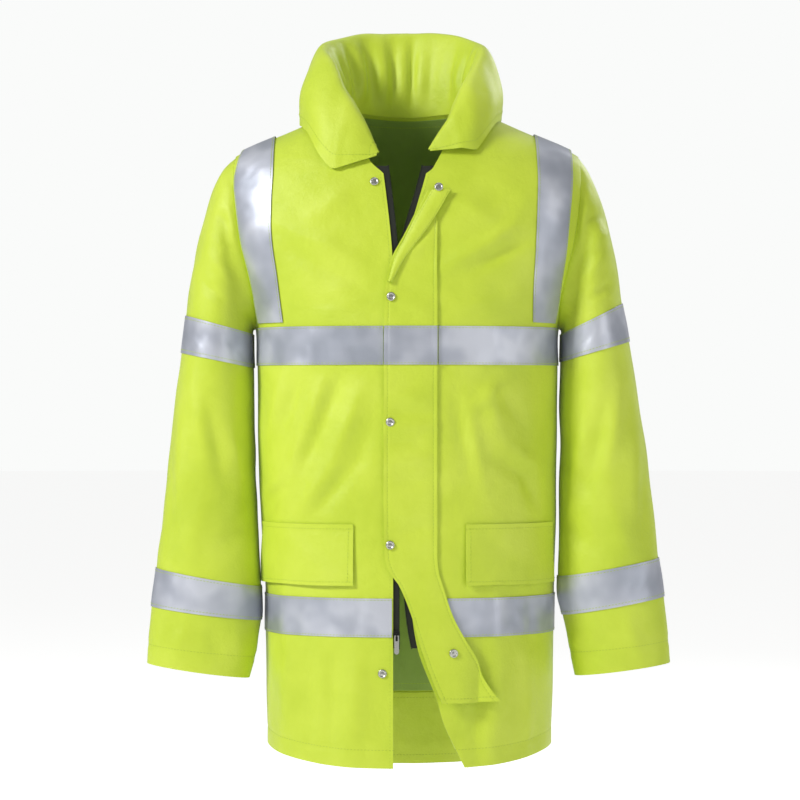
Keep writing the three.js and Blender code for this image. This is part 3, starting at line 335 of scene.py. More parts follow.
# The collar's section at each turn round the neck from the back's centre: the distance from the neck's
# axis and the height of its mouth, crest, bulge and free lower edge
COLLAR_LEFT = table(
    "turn mouth_r mouth_z crest_r crest_z bulge_r bulge_z fall_r fall_z",
    (0, 77, 55, 98, 110, 122, 62, 126, -38),
    (35, 79, 54, 101, 107, 126, 58, 130, -38),
    (65, 84, 50, 106, 94, 133, 48, 137, -34),
    (90, 90, 42, 111, 80, 136, 30, 138, -28),
    (115, 94, 20, 107, 52, 138, 8, 142, -46),
    (135, 94, -4, 111, 10, 136, -24, 146, -86),
    (150, 101, -42, 114, -34, 124, -52, 130, -84),
    (162, 106, -72, 114, -67, 118, -71, 117, -79),
)
COLLAR_RIGHT = table(
    "turn mouth_r mouth_z crest_r crest_z bulge_r bulge_z fall_r fall_z",
    (0, 77, 55, 98, 110, 122, 62, 126, -38),
    (35, 78, 54, 99, 107, 122, 58, 126, -38),
    (65, 80, 50, 101, 92, 124, 48, 128, -34),
    (90, 82, 42, 100, 76, 125, 26, 124, -26),
    (115, 83, 20, 96, 46, 124, 6, 126, -40),
    (135, 87, -1, 101, 9, 122, -22, 130, -62),
    (150, 98, -33, 108, -28, 116, -47, 122, -62),
    (166, 104, -67, 113, -62, 116, -66, 115, -73),
)

# Creases of the collar: turn from the back's centre, and place from the neck seam (0) to its edge (100)
COLLAR_FOLDS = table(
    "x1 z1 x2 z2 width rise",
    (-128, 30, -140, 95, 7, 2.9),
    (-112, 40, -100, 98, 8, -2.3),
    (-92, 52, -84, 96, 7, 2.3),
    (-70, 55, -74, 98, 7, -2),
    (100, 52, 118, 98, 7, 2.6),
    (124, 30, 140, 92, 7, -2.3),
    (78, 52, 84, 98, 8, 2.1),
    (-150, 20, -152, 90, 5, -1.8),
    (30, 60, 26, 98, 9, 2.3),
    (-28, 58, -32, 98, 9, -2.3),
)

# Where the braces, pocket flaps, storm flap and its turned top corner lie across the body
BRACES = table(
    "z left_inner left_outer right_inner right_outer",
    (0, -172, -223, 166, 214),
    (-80, -172, -223, 168, 214),
    (-130, -174, -223, 167, 211),
    (-180, -173, -215, 165, 206),
    (-235, -165, -202, 162, 199),
    (-291, -158, -192, 161, 190),
)
POCKETS = ((-186, -68), (74, 187))
FLAP_LINE = table(
    "z free seam",
    (-100, 33, 45),
    (-118, 24, 42),
    (-145, 11, 39),
    (-175, -4, 38),
    (-205, -20, 38),
    (-235, -27, 38),
    (-262, -29, 38),
    (-582, -29, 38),
    (-604, -22, 40),
    (-621, -10, 45),
    (-661, 6, 58),
    (-700, 17, 78),
    (-750, 35, 104),
    (-800, 57, 132),
)
TURNED_LINE = table(
    "z from to",
    (-110, 36, 60),
    (-145, 16, 40),
    (-175, 0, 20),
    (-205, -16, -3),
    (-235, -25, -19),
)
FLAP_FOLDS = table(
    "x1 z1 x2 z2 width rise",
    (-24, -372, 22, -386, 5.4, 3),
    (-26, -398, 30, -406, 5.4, -3),
    (-24, -420, 34, -414, 5.4, 3.4),
    (-22, -440, 30, -446, 5.4, -3),
    (-26, -466, 24, -458, 5.4, 3.2),
    (-22, -492, 34, -486, 6.3, -2.6),
    (-26, -524, 24, -534, 7.2, 2.7),
    (-18, -556, 34, -548, 7.2, -2.4),
    (-10, -205, 34, -180, 7.2, 2.2),
    (-18, -240, 36, -252, 7.2, -2.2),
    (-6, -262, 30, -276, 6.3, 1.9),
)

# The rows from the shoulder tip to the underarm that share the sleeve's turns
ARM_ROWS = np.array([-65, -80, -95, -118, -145, -175, -205, -235, -262, -280, -291], dtype=float)


def mix(a, b, t):
    return a + (b - a) * t


def smooth(start, end, value):
    """0 up to start and 1 past end, with a soft step between them."""
    t = np.clip((np.asarray(value, dtype=float) - start) / (end - start), 0, 1)
    return t * t * (3 - 2 * t)


def read(rows, key, value, column):
    """A smooth curve through one column of a table, held level past its ends."""
    keys, values = rows[key], rows[column]
    value = np.asarray(value, dtype=float)
    if keys[-1] < keys[0]:
        keys, value = -keys, -value
    value = np.clip(value, keys[0], keys[-1])
    slopes = np.empty(len(keys))
    slopes[1:-1] = (values[2:] - values[:-2]) / (keys[2:] - keys[:-2])
    slopes[0] = (values[1] - values[0]) / (keys[1] - keys[0])
    slopes[-1] = (values[-1] - values[-2]) / (keys[-1] - keys[-2])
    i = np.clip(np.searchsorted(keys, value, side="right") - 1, 0, len(keys) - 2)
    width = keys[i + 1] - keys[i]
    t = (value - keys[i]) / width
    rise = t * t * (3 - 2 * t)
    start = t * (1 - t) ** 2 * width * slopes[i]
    end = t * t * (t - 1) * width * slopes[i + 1]
    return mix(values[i], values[i + 1], rise) + start + end


def on_body(angle, z):
    """Points of the body's rings. The angle runs from the right side over the front."""
    angle, z = np.broadcast_arrays(np.asarray(angle, dtype=float), np.asarray(z, dtype=float))
    across, ahead = np.cos(angle), np.sin(angle)
    power = 2 / read(BODY, "z", z, "square")
    half_width = np.where(across < 0, read(BODY, "z", z, "left"), read(BODY, "z", z, "right"))
    half_depth = np.where(ahead < 0, read(BODY, "z", z, "back"), read(BODY, "z", z, "front"))
    x = np.sign(across) * half_width * np.abs(across) ** power
    y = -np.sign(ahead) * half_depth * np.abs(ahead) ** power
    return np.stack([x, y, z], axis=-1)


def angle_at(x, z):
    """The angle at which the ring at height z lies x out, on the front."""
    half_width = read(BODY, "z", z, "left" if x < 0 else "right")
    reach = min(abs(x) / half_width, 1) ** (read(BODY, "z", z, "square") / 2)
    return math.acos(math.copysign(reach, x))


def neckline_z(angle):
    """The height at which the body's surface meets the oval of the neck opening."""
    reach = np.where(np.sin(angle) < 0, NECK_BACK_REACH, NECK_FRONT_REACH)
    inside, outside = np.zeros_like(angle), np.full_like(angle, -90.0)
    for _ in range(34):
        z = (inside + outside) / 2
        point = on_body(angle, z)
        within = (point[..., 0] / NECK_HALF_WIDTH) ** 2 + (point[..., 1] / reach) ** 2 < 1
        inside, outside = np.where(within, z, inside), np.where(within, outside, z)
    return inside


def fold_at(folds, points):
    """How far a table's folds lift the cloth at each point."""
    lift = np.zeros(points.shape[:-1])
    for k in range(len(folds["rise"])):
        start = np.array([folds["x1"][k], folds["z1"][k]])
        run = np.array([folds["x2"][k], folds["z2"][k]]) - start
        away = points[..., (0, 2)] - start
        along = np.clip(away @ run / (run @ run), 0, 1)
        distance = np.linalg.norm(away - along[..., None] * run, axis=-1)
        ends = 0.35 + 0.65 * np.sin(np.pi * np.clip(along, 0.06, 0.94))
        lift += folds["rise"][k] * ends * np.exp(-((distance / folds["width"][k]) ** 2))
    return lift


def fold_share(z):
    share = np.ones_like(z)
    for top, bottom in CALM_ZONES:
        away = np.maximum(np.maximum(z - top, bottom - z), 0)
        share *= mix(CALM_LEFT, 1, smooth(2, CALM_FADE, away))
    return share


def ripple(points, seed, size):
    """Low uneven waves of handled cloth, up to about size high, from a fixed set of crossing waves."""
    draw = np.random.default_rng(seed)
    total = np.zeros(points.shape[:-1])
    for _ in range(9):
        way = draw.normal(size=3) * np.array([1.0, 0.7, 0.55])
        way *= (2 * math.pi / draw.uniform(38, 110)) / np.linalg.norm(way)
        total += np.sin(points @ way + draw.uniform(0, 2 * math.pi))
    return size * total / 4.5


def grid_normals(grid, closed):
    """Normals of a grid of points, along its rows' direction crossed with its columns'."""
    down = np.gradient(grid, axis=0)
    if closed:
        across = np.roll(grid, -1, axis=1) - np.roll(grid, 1, axis=1)
    else:
        across = np.gradient(grid, axis=1)
    normals = np.cross(down, across)
    length = np.linalg.norm(normals, axis=-1, keepdims=True)
    return normals / np.maximum(length, 1e-9)


def facing(grid, normals, outward):
    """The normals, turned as one so that they point the way that outward gives."""
    agree = np.sum(normals * outward(grid))
    return normals if agree >= 0 else -normals


def is_seam(z):
    return z >= SHOULDER_TIP_Z or z <= UNDERARM_Z


def arm_angle(z, sign, side):
    if is_seam(z):
        return 0.0
    x = min(float(read(ARMHOLE, "z", z, side)), float(read(BODY, "z", z, "left" if sign < 0 else "right")))
    return angle_at(x, z)


class BodyPanel:
    """A front or the back: points at any height of its side and any share across it."""

    def __init__(self, side, sign=0):
        self.side = side
        self.sign = sign
        self.folds = BACK_FOLDS if side == "back" else FRONT_FOLDS
        self.fine = None

    def ends(self, z):
        if self.side == "back":
            return -arm_angle(z, 1, "back"), -math.pi + arm_angle(z, -1, "back")
        arm = arm_angle(z, self.sign, "front")
        edge = angle_at(float(read(EDGES, "z", z, "left" if self.sign < 0 else "right")), z)
        return (math.pi - arm, edge) if self.sign < 0 else (arm, edge)

    def hem(self, angle):
        if self.side == "back":
            return HEM_BACK_Z + HEM_BACK_LIFT * np.abs(np.cos(angle)) ** 2.5
        return HEM_FRONT_Z + HEM_FRONT_LIFT * np.abs(np.cos(angle)) ** 3

    def row(self, z, shares):
        start, end = self.ends(z)
        angle = mix(start, end, shares)
        if z >= YOKE_Z:
            heights = mix(neckline_z(angle), YOKE_Z, z / YOKE_Z)
        elif z >= HEM_START_Z:
            heights = np.full_like(angle, z)
        else:
            step = (z - HEM_START_Z) / (HEM_FRONT_Z - HEM_START_Z)
            heights = mix(HEM_START_Z, self.hem(angle), step)
        return on_body(angle, heights)

    def lay(self, heights, shares):
        """The folded surface and its outward normals, a row for each height."""
        shares = np.asarray(shares, dtype=float)
        across = np.tile(shares, (len(heights), 1)) if shares.ndim == 1 else shares
        plain = np.array([self.row(z, across[i]) for i, z in enumerate(heights)])
        outward = self.outward
        normals = facing(plain, grid_normals(plain, False), outward)
        clear = smooth(0.2, 0.5, np.abs(plain[..., 1]) / 140) * smooth(-90, -130, plain[..., 2])
        edge = smooth(0, 0.4, 1 - np.abs(2 * across - 1))
        lift = fold_at(self.folds, plain) * fold_share(plain[..., 2])
        if self.side == "front":
            lift += fold_at(FRONT_BAND_FOLDS, plain)
        lift *= clear * edge
        settle = smooth(0, 0.12, 1 - np.abs(2 * across - 1)) * smooth(-60, -120, plain[..., 2])
        lift += ripple(plain, 11 if self.side == "back" else 7, 0.7) * settle
        lift -= self.grooves(np.asarray(heights, dtype=float)[:, None], across, plain)
        points = plain + normals * lift[..., None]
        return points, facing(points, grid_normals(points, False), outward)

    def grooves(self, heights, across, plain):
        """How far the cloth dips at its seams and at the hem's stitches, and puckers below them."""
        width = np.linalg.norm(np.diff(plain, axis=1), axis=-1).sum(axis=1, keepdims=True)
        far = 1 - across if self.side == "back" else np.ones_like(across)
        dip = SEAM_DIP * np.exp(-((np.minimum(across, far) * width / SEAM_DIP_WIDTH) ** 2))
        dip = dip + STITCH_DIP * np.exp(-(((heights - HEM_STITCH_Z) / 1.6) ** 2))
        pucker = np.sin(plain[..., 0] / 2.9 + 2.2 * np.sin(plain[..., 0] / 11.0))
        return dip + 0.35 * pucker * np.exp(-(((heights - HEM_STITCH_Z) / 12) ** 2))

    @staticmethod
    def outward(points):
        up = np.where(points[..., 2] > -120, 120, 0)
        return np.stack([points[..., 0] * 0.45, points[..., 1], up], axis=-1)

    def edge(self, heights, share):
        """The outer and inner points down one edge of the panel."""
        points, normals = self.lay(heights, [0.0, 0.02] if share == 0 else [0.98, 1.0])
        k = 0 if share == 0 else 1
        return points[:, k], points[:, k] - normals[:, k] * CLOTH

    def share_at(self, z, x):
        """The share across at which the row at height z lies x out."""
        low, high = 0.0, 1.0
        rising = self.row(z, np.array([1.0]))[0, 0] > self.row(z, np.array([0.0]))[0, 0]
        for _ in range(26):
            middle = (low + high) / 2
            if (self.row(z, np.array([middle]))[0, 0] < x) == rising:
                low = middle
            else:
                high = middle
        return (low + high) / 2

    def cut(self, heights, limits, strips):
        """The part of the panel between two distances across, which limits gives for each height."""
        across = []
        for z in heights:
            start, end = (self.share_at(z, x) for x in limits(z))
            across.append(np.linspace(start, end, strips + 1))
        return self.lay(heights, np.array(across))


FRONT_RIGHT = BodyPanel("front", -1)
FRONT_LEFT = BodyPanel("front", 1)
BACK = BodyPanel("back")


def levels(*stops, step=8.0):
    """Heights from stop to stop, evenly spaced between each two and about a step apart."""
    result = [float(stops[0])]
    for a, b in zip(stops, stops[1:]):
        count = max(1, round(abs(b - a) / step))
        result += list(np.linspace(a, b, count + 1)[1:])
    return result


BODY_LEVELS = levels(0, SHOULDER_TIP_Z, YOKE_Z, UNDERARM_Z, CHEST_BAND_Z[1], POCKET_Z[0], POCKET_Z[1],
                     *HEM_BAND_Z, HEM_STITCH_Z + 3, HEM_STITCH_Z, HEM_STITCH_Z - 3, HEM_FRONT_Z, step=6)


def spread(strips):
    """Shares from 0 to 1 in even strips, with the outer two divided again."""
    even = np.linspace(0, 1, strips + 1)
    near = np.array([0.2, 0.45, 0.7]) / strips
    return np.concatenate([even[:1], near, even[1:-1], 1 - near[::-1], even[-1:]])


def armhole_loop(front, sign):
    """The armhole's outer and inner points, from the shoulder tip down the front and up the back."""
    steps = np.linspace(0, len(ARM_ROWS) - 1, (len(ARM_ROWS) - 1) * LOOP_STEPS + 1)
    heights = np.interp(steps, np.arange(len(ARM_ROWS)), ARM_ROWS)
    on_front = front.edge(heights, 0)
    on_back = BACK.edge(heights, 0 if sign > 0 else 1)
    loops = []
    for ahead, behind in zip(on_front, on_back):
        ends = (ahead[[0, -1]] + behind[[0, -1]]) / 2
        loops.append(np.concatenate([ends[:1], ahead[1:-1], ends[1:], behind[-2:0:-1]]))
    return loops


class Sleeve:
    """A sleeve: rings of a table, whose shape goes from the armhole's to an oval over the first rings."""

    def __init__(self, rings, front, sign):
        self.rings = dict(rings, row=np.arange(len(rings["y"]), dtype=float))
        self.sign = sign
        outer, self.inner_loop = armhole_loop(front, sign)
        self.turn = np.linspace(0, 2 * math.pi, len(outer), endpoint=False)
        middle, half, ahead, off = (part[0] for part in self.frames(np.array([0.0])))
        away = outer - middle
        self.start = (away @ half / (half @ half), away @ ahead / (ahead @ ahead), away @ off)

    def frames(self, rows):
        """The rings' middles, the ways to their outer ends and their fronts, and the way along the arm."""
        def seen(x, z):
            return np.stack([self.sign * self.value(rows, x), self.value(rows, "y"), self.value(rows, z)], -1)
        outer, inner = seen("out_x", "out_z"), seen("in_x", "in_z")
        half = (outer - inner) / 2
        ahead = np.array([0.0, -1.0, 0.0]) * self.value(rows, "depth")[:, None]
        off = np.cross(half, ahead)
        return (outer + inner) / 2, half, ahead, off / np.linalg.norm(off, axis=-1, keepdims=True)

    def value(self, rows, column):
        return read(self.rings, "row", rows, column)

    def lay(self, rows):
        """The folded surface and its outward normals, a ring for each row."""
        rows = np.asarray(rows, dtype=float)
        middle, half, ahead, off = (part[:, None] for part in self.frames(rows))
        blend = smooth(0, 6, rows)[:, None]
        p = mix(self.start[0], np.cos(self.turn), blend)[..., None]
        q = mix(self.start[1], np.sin(self.turn), blend)[..., None]
        rest = (self.start[2] * (1 - blend))[..., None]
        plain = middle + half * p + ahead * q + off * rest

        def outward(grid):
            return grid - middle
        normals = facing(plain, grid_normals(plain, True), outward)
        seen = plain * np.array([self.sign, 1, 1])
        sine = np.sin(self.turn)
        folds = np.where(sine > 0, fold_at(SLEEVE_FRONT_FOLDS, seen), fold_at(SLEEVE_BACK_FOLDS, seen))
        begin = smooth(0, 1, rows)[:, None]
        lift = folds * smooth(0.15, 0.7, np.abs(sine)) + ripple(plain, 5 if self.sign < 0 else 9, 1.0)
        held = np.ones(len(rows))
        for top, bottom in (UPPER_BAND, LOWER_BAND, (CUFF_ROW - 0.6, CUFF_ROW)):
            away = np.maximum(np.maximum(top - rows, rows - bottom), 0)
            held *= mix(0.5, 1, smooth(0, 0.8, away))
        lift = lift * begin * held[:, None]
        lift -= 0.7 * np.exp(-(((rows - CUFF_STITCH_ROW) / 0.09) ** 2))[:, None]
        points = plain + normals * lift[..., None]
        return points, facing(points, grid_normals(points, True), outward)


def spline(knots, steps):
    """Points of a centripetal Catmull-Rom curve through knots, which are (knot, ..., axis)."""
    knots = np.concatenate([2 * knots[:1] - knots[1:2], knots, 2 * knots[-1:] - knots[-2:-1]])
    result = []
    for k in range(1, len(knots) - 2):
        a, b, c, d = knots[k - 1:k + 3]
        spans = [np.sqrt(np.linalg.norm(q - p, axis=-1, keepdims=True)) for p, q in ((a, b), (b, c), (c, d))]
        starts = np.cumsum([np.zeros_like(spans[0])] + spans, axis=0)
        for t in np.linspace(0, 1, steps + 1)[(0 if k == 1 else 1):]:
            at = mix(starts[1], starts[2], t)
            ab, bc, cd = (mix(p, q, (at - starts[i]) / (starts[i + 1] - starts[i]))
                          for i, (p, q) in enumerate(((a, b), (b, c), (c, d))))
            abc, bcd = (mix(p, q, (at - starts[i]) / (starts[i + 2] - starts[i]))
                        for i, (p, q) in enumerate(((ab, bc), (bc, cd))))
            result.append(mix(abc, bcd, t))
    return np.array(result)


def clear_of_body(point):
    """The point raised until it stands clear of the shoulders."""
    point = point.copy()
    for _ in range(60):
        x, y, z = point
        square = float(read(BODY, "z", z, "square"))
        half_width = float(read(BODY, "z", z, "left" if x < 0 else "right")) + FALL_CLEARANCE
        half_depth = float(read(BODY, "z", z, "front" if y < 0 else "back")) + FALL_CLEARANCE
        if z > 0 or (abs(x) / half_width) ** square + (abs(y) / half_depth) ** square >= 1:
            break
        point[2] += 1
    return point


def collar_tip(end, x, z):
    """Sections that close in from the collar's end to its tip, kept in front of the body. The tip is first."""
    tip = on_body(angle_at(x, z), z) + np.array([0.0, -2.5, 0.0])
    shares = np.linspace(0.94, 0, TIP_STRIPS + 1)[:-1]
    fan = mix(end[:, None], tip, shares[None, :, None])
    for k in range(len(end)):
        for point in fan[k]:
            for _ in range(60):
                square = float(read(BODY, "z", point[2], "square"))
                wide = float(read(BODY, "z", point[2], "left" if point[0] < 0 else "right"))
                deep = float(read(BODY, "z", point[2], "front")) + 1.5 + 0.8 * k
                if (abs(point[0]) / wide) ** square + (abs(point[1]) / deep) ** square >= 1:
                    break
                point[1] -= 1
    return fan


def collar_grid():
    """The collar's hidden face from the neck seam over the crest to its free edge, and its seen face."""
    fine = np.linspace(0, 1, COLLAR_STRIPS + 1)
    wide = np.linspace(0, 1, 2 * COLLAR_STRIPS + 1)
    edges = []
    for panel, shares in ((FRONT_RIGHT, fine[::-1]), (BACK, wide[::-1]), (FRONT_LEFT, fine)):
        points, normals = panel.lay([0.0, -8.0], shares)
        up = points[0] - points[1]
        up /= np.linalg.norm(up, axis=-1, keepdims=True)
        edges.append((points[0] - normals[0] * CLOTH + up * NECK_GAP, points[0] + up * NECK_GAP))
    within, outside = (np.concatenate([edges[0][k][:-1], edges[1][k], edges[2][k][1:]]) for k in (0, 1))
    knots = np.empty((5, len(outside), 3))
    knots[0] = outside
    for k, base in enumerate(outside):
        way = -1 if base[0] < 0 else 1
        turn = math.degrees(math.atan2(abs(base[0]), base[1]))
        rows = COLLAR_LEFT if way < 0 else COLLAR_RIGHT
        for n, place in enumerate(("mouth", "crest", "bulge", "fall")):
            r = float(read(rows, "turn", turn, place + "_r"))
            z = float(read(rows, "turn", turn, place + "_z"))
            if place == "mouth":
                r += GATHER_DEPTH * math.sin(math.radians(12 * turn)) * float(smooth(80, 50, turn))
            point = np.array([way * r * math.sin(math.radians(turn)), r * math.cos(math.radians(turn)), z])
            knots[n + 1, k] = clear_of_body(point) if place == "fall" else point
    before, after = (collar_tip(knots[:, column], *tip) for column, tip in ((0, TIP_RIGHT), (-1, TIP_LEFT)))
    knots = np.concatenate([before, knots, after[:, ::-1]], axis=1)
    grid = spline(knots, COLLAR_STEPS)
    normals = grid_normals(grid, False)
    share = np.linspace(0, 1, len(grid))[:, None]
    settle = smooth(0.03, 0.2, share) * smooth(0, 0.08, 1 - np.abs(2 * np.linspace(0, 1, grid.shape[1]) - 1))
    turn = np.degrees(np.arctan2(knots[0, :, 0], knots[0, :, 1]))
    pleats = 3.2 * np.sin(np.radians(turn * 17 + 40 * np.sin(np.radians(turn * 5))))
    pleats = pleats * smooth(0.5, 0.25, share) * smooth(125, 85, np.abs(turn))
    places = np.stack([turn + 0 * share, 0 * turn + 0 * share, 100 * share + 0 * turn], -1)
    creases = fold_at(COLLAR_FOLDS, places)
    lift = (pleats + creases + ripple(grid, 23, 1.3)) * settle
    lift -= 0.6 * np.exp(-(((share - COLLAR_STITCH_SHARE) / 0.012) ** 2))
    grid = grid + normals * lift[..., None]
    seen = grid - grid_normals(grid, False) * COLLAR_CLOTH
    seen[0, TIP_STRIPS:-TIP_STRIPS] = within
    return grid, seen


# Meshes


def lengths(grid, axis):
    """Distances along a grid's rows or columns, counted from its first point."""
    step = np.linalg.norm(np.diff(grid, axis=axis), axis=-1)
    start = np.zeros_like(np.take(step, [0], axis=axis))
    return np.cumsum(np.concatenate([start, step], axis=axis), axis=axis)


def wall(name, outer, inner, closed=False, sharp=math.radians(50)):
    """A closed cloth wall between two grids of points in millimetres, with a UV map in metres."""
    rows, columns = outer.shape[:2]
    if closed:
        wrapped = np.concatenate([outer, outer[:, :1]], axis=1)
    else:
        wrapped = outer
    u = lengths(wrapped, 1) * MM
    v = lengths(wrapped, 0) * MM
    points = np.concatenate([outer.reshape(-1, 3), inner.reshape(-1, 3)]) * MM
    layer = rows * columns
    faces, uvs = [], []

    def quad(*corners):
        faces.append([side * layer + i * columns + j % columns for i, j, side in corners])
        uvs.extend((u[i, j] + 0.0004 * side, v[i, j]) for i, j, side in corners)

    last = columns if closed else columns - 1
    for j in range(last):
        for i in range(rows - 1):
            quad((i, j, 0), (i + 1, j, 0), (i + 1, j + 1, 0), (i, j + 1, 0))
            quad((i, j, 1), (i, j + 1, 1), (i + 1, j + 1, 1), (i + 1, j, 1))
        quad((0, j, 0), (0, j + 1, 0), (0, j + 1, 1), (0, j, 1))
        end = rows - 1
        quad((end, j, 0), (end, j, 1), (end, j + 1, 1), (end, j + 1, 0))
    if not closed:
        end = columns - 1
        for i in range(rows - 1):
            quad((i, 0, 0), (i, 0, 1), (i + 1, 0, 1), (i + 1, 0, 0))
            quad((i, end, 0), (i + 1, end, 0), (i + 1, end, 1), (i, end, 1))
    return finish_mesh(name, points, faces, uvs, sharp)


def finish_mesh(name, points, faces, uvs=None, sharp=math.radians(40)):
    """A named object whose mesh has its doubles merged and its faces turned outwards."""
    mesh = bpy.data.meshes.new(name)
    mesh.from_pydata([tuple(p) for p in points], [], faces)
    if uvs is not None:
        layer = mesh.uv_layers.new(name="cloth")
        layer.data.foreach_set("uv", np.array(uvs, dtype=np.float32).ravel())
    shape = bmesh.new()
    shape.from_mesh(mesh)
    bmesh.ops.remove_doubles(shape, verts=shape.verts, dist=2e-6)
    bmesh.ops.dissolve_degenerate(shape, dist=1e-6, edges=shape.edges)
    bmesh.ops.recalc_face_normals(shape, faces=shape.faces)
    shape.to_mesh(mesh)
    shape.free()
    mesh.shade_smooth()
    mesh.set_sharp_from_angle(angle=sharp)
    obj = bpy.data.objects.new(name, mesh)
    bpy.context.scene.collection.objects.link(obj)
    return obj


def laid(name, points, normals, lift, thickness, closed=False):
    """A piece of cloth that lies lift above a surface."""
    under = points + normals * np.asarray(lift)[..., None]
    return wall(name, under + normals * thickness, under, closed)


def declare(obj, grid, nodes, finish, closed=False):
    """Gives a cloth piece its material, body and replaced nodes. Its flat width, length and area are worked
    out but not kept.
    """
    wrapped = np.concatenate([grid, grid[:, :1]], axis=1) if closed else grid
    width = float(lengths(wrapped, 1)[:, -1].max()) * MM
    length = float(lengths(wrapped, 0)[-1].max()) * MM
    a, b = wrapped[1:, 1:] - wrapped[:-1, :-1], wrapped[1:, :-1] - wrapped[:-1, 1:]
    area = float(np.linalg.norm(np.cross(a, b), axis=-1).sum()) / 2 * MM * MM
    area = min(max(area, 0.31 * width * length), width * length)
    obj.data.materials.append(finish)
    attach(obj, "jacket")
    if nodes:
        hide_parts(*nodes)
    return obj


# The cloth pieces

SEAM_LINES = []


def sew(points, normals=None, lift=0.1, closed=False):
    """Notes a line of stitches along points, which lie lift above them where normals are given."""
    if normals is not None:
        points = points + normals * lift
    SEAM_LINES.append((np.asarray(points) * MM, closed))


def part(points, column, way):
    """Moves a panel's edge apart from its neighbour's at the shoulder and side seams."""
    for i, z in enumerate(BODY_LEVELS):
        if is_seam(z):
            points[i, column, 1] += way * SEAM_PART


def build_front(name, panel, finish):
    shares = spread(46)
    points, normals = panel.lay(BODY_LEVELS, shares)
    part(points, 0, -1)
    obj = wall(name, points, points - normals * CLOTH)
    declare(obj, points, [name], finish)
    armhole = [i for i, z in enumerate(BODY_LEVELS) if SHOULDER_TIP_Z >= z >= UNDERARM_Z]
    side = [i for i, z in enumerate(BODY_LEVELS) if z < CHEST_BAND_Z[1]]
    for rows, far in ((armhole, 5), (side, 4)):
        heights = [BODY_LEVELS[i] for i in rows]
        sew(*along_edge(panel, heights, far), lift=0.1)
    hem = BODY_LEVELS.index(HEM_STITCH_Z)
    sew(points[hem], normals[hem], 0.1)
    upper = [z for z in BODY_LEVELS if -84 > z > -240]
    lower = [z for z in BODY_LEVELS if z < -590]
    for heights in (upper, lower):
        sew(*along_edge(panel, heights, 4, from_front=True), lift=0.1)
    return obj


def along_edge(panel, heights, far, from_front=False):
    """Points and normals far in from a panel's side or front edge."""
    result = []
    for z in heights:
        row = panel.row(z, np.linspace(0, 1, 80))
        way = row[::-1] if from_front else row
        run = lengths(way[None], 1)[0]
        share = float(np.interp(far, run, np.linspace(0, 1, 80)))
        result.append(1 - share if from_front else share)
    shares = np.array(result)[:, None] + np.array([0.0, 0.01 if not from_front else -0.01])
    points, normals = panel.lay(heights, shares)
    turned = facing(points, normals, panel.outward)
    return points[:, 0], turned[:, 0]


def build_back(finish):
    points, normals = BACK.lay(BODY_LEVELS, spread(96))
    part(points, 0, 1)
    part(points, -1, 1)
    obj = wall("back_panel", points, points - normals * CLOTH)
    declare(obj, points, ["back_panel"], finish)
    hem = BODY_LEVELS.index(HEM_STITCH_Z)
    sew(points[hem], normals[hem], 0.1)
    yoke = [k for k, z in enumerate(BODY_LEVELS) if SHOULDER_TIP_Z < z < 0]
    for column in (2, -3):
        sew(points[yoke, column], normals[yoke, column], 0.1)
    armhole = [k for k, z in enumerate(BODY_LEVELS) if SHOULDER_TIP_Z >= z >= UNDERARM_Z]
    for column in (2, -3):
        sew(points[armhole, column], normals[armhole, column], 0.1)
    return obj


def build_sleeve(name, sleeve, finish):
    rows = np.linspace(0, CUFF_ROW, 5 * CUFF_ROW + 1)
    points, normals = sleeve.lay(rows)
    points[0] = points[0] + np.array([sleeve.sign * 0.15, 0, 0])
    inner = points - normals * CLOTH
    inner[0] = sleeve.inner_loop + np.array([sleeve.sign * 0.15, 0, 0])
    obj = wall(name, points, inner, closed=True)
    declare(obj, points, [name], finish, closed=True)
    cuff = int(round(CUFF_STITCH_ROW * 5))
    sew(points[cuff], normals[cuff], 0.1, closed=True)
    return obj


def build_sleeve_band(name, sleeve, limits, finish):
    rows = np.linspace(*limits, 11)
    points, normals = sleeve.lay(rows)
    obj = laid(name, points, normals, np.full(points.shape[:2], LAID_GAP), TAPE_CLOTH, closed=True)
    declare(obj, points, [name], finish, closed=True)
    for t in (0.06, 0.94):
        line, ways = sleeve.lay([mix(limits[0], limits[1], t), mix(limits[0], limits[1], t) + 0.05])
        sew(line[0], ways[0], LAID_GAP + TAPE_CLOTH + 0.1, closed=True)
    return obj


def build_band(name, panel, heights, limits, finish, lift=None, strips=44):
    """Reflective tape sewn along both of its long edges, from one distance across to another."""
    points, normals = panel.cut(heights, limits, strips)
    lift = np.full(len(heights), LAID_GAP) if lift is None else lift
    obj = laid(name, points, normals, np.repeat(lift[:, None], strips + 1, axis=1), TAPE_CLOTH)
    declare(obj, points, [name], finish)
    top = lift[0] + TAPE_CLOTH + 0.1
    for first, second in ((0, 1), (-1, -2)):
        sew(mix(points[first], points[second], 0.35), normals[first], top)
    return obj


def ridge_z(x):
    """The height of the shoulder's ridge at a distance across."""
    low, high = float(SHOULDER_TIP_Z), 0.0
    for _ in range(26):
        middle = (low + high) / 2
        if float(read(BODY, "z", middle, "left" if x < 0 else "right")) > abs(x):
            low = middle
        else:
            high = middle
    return (low + high) / 2


def over_shoulder(side, top, bottom, steps):
    """Rows from the shoulder's ridge down to the yoke's height, between two rows of distances across."""
    rows = []
    for t in np.linspace(0, 1, steps + 1):
        x = mix(top, bottom, t)
        z = mix(np.array([ridge_z(value) for value in x]), YOKE_Z, t ** 1.5)
        square = read(BODY, "z", z, "square")
        wide = np.where(x < 0, read(BODY, "z", z, "left"), read(BODY, "z", z, "right"))
        deep = read(BODY, "z", z, side) * (-1 if side == "front" else 1)
        inside = np.clip(1 - (np.abs(x) / wide) ** square, 0, 1)
        rows.append(np.stack([x, deep * inside ** (1 / square), z], axis=-1))
    return np.array(rows)


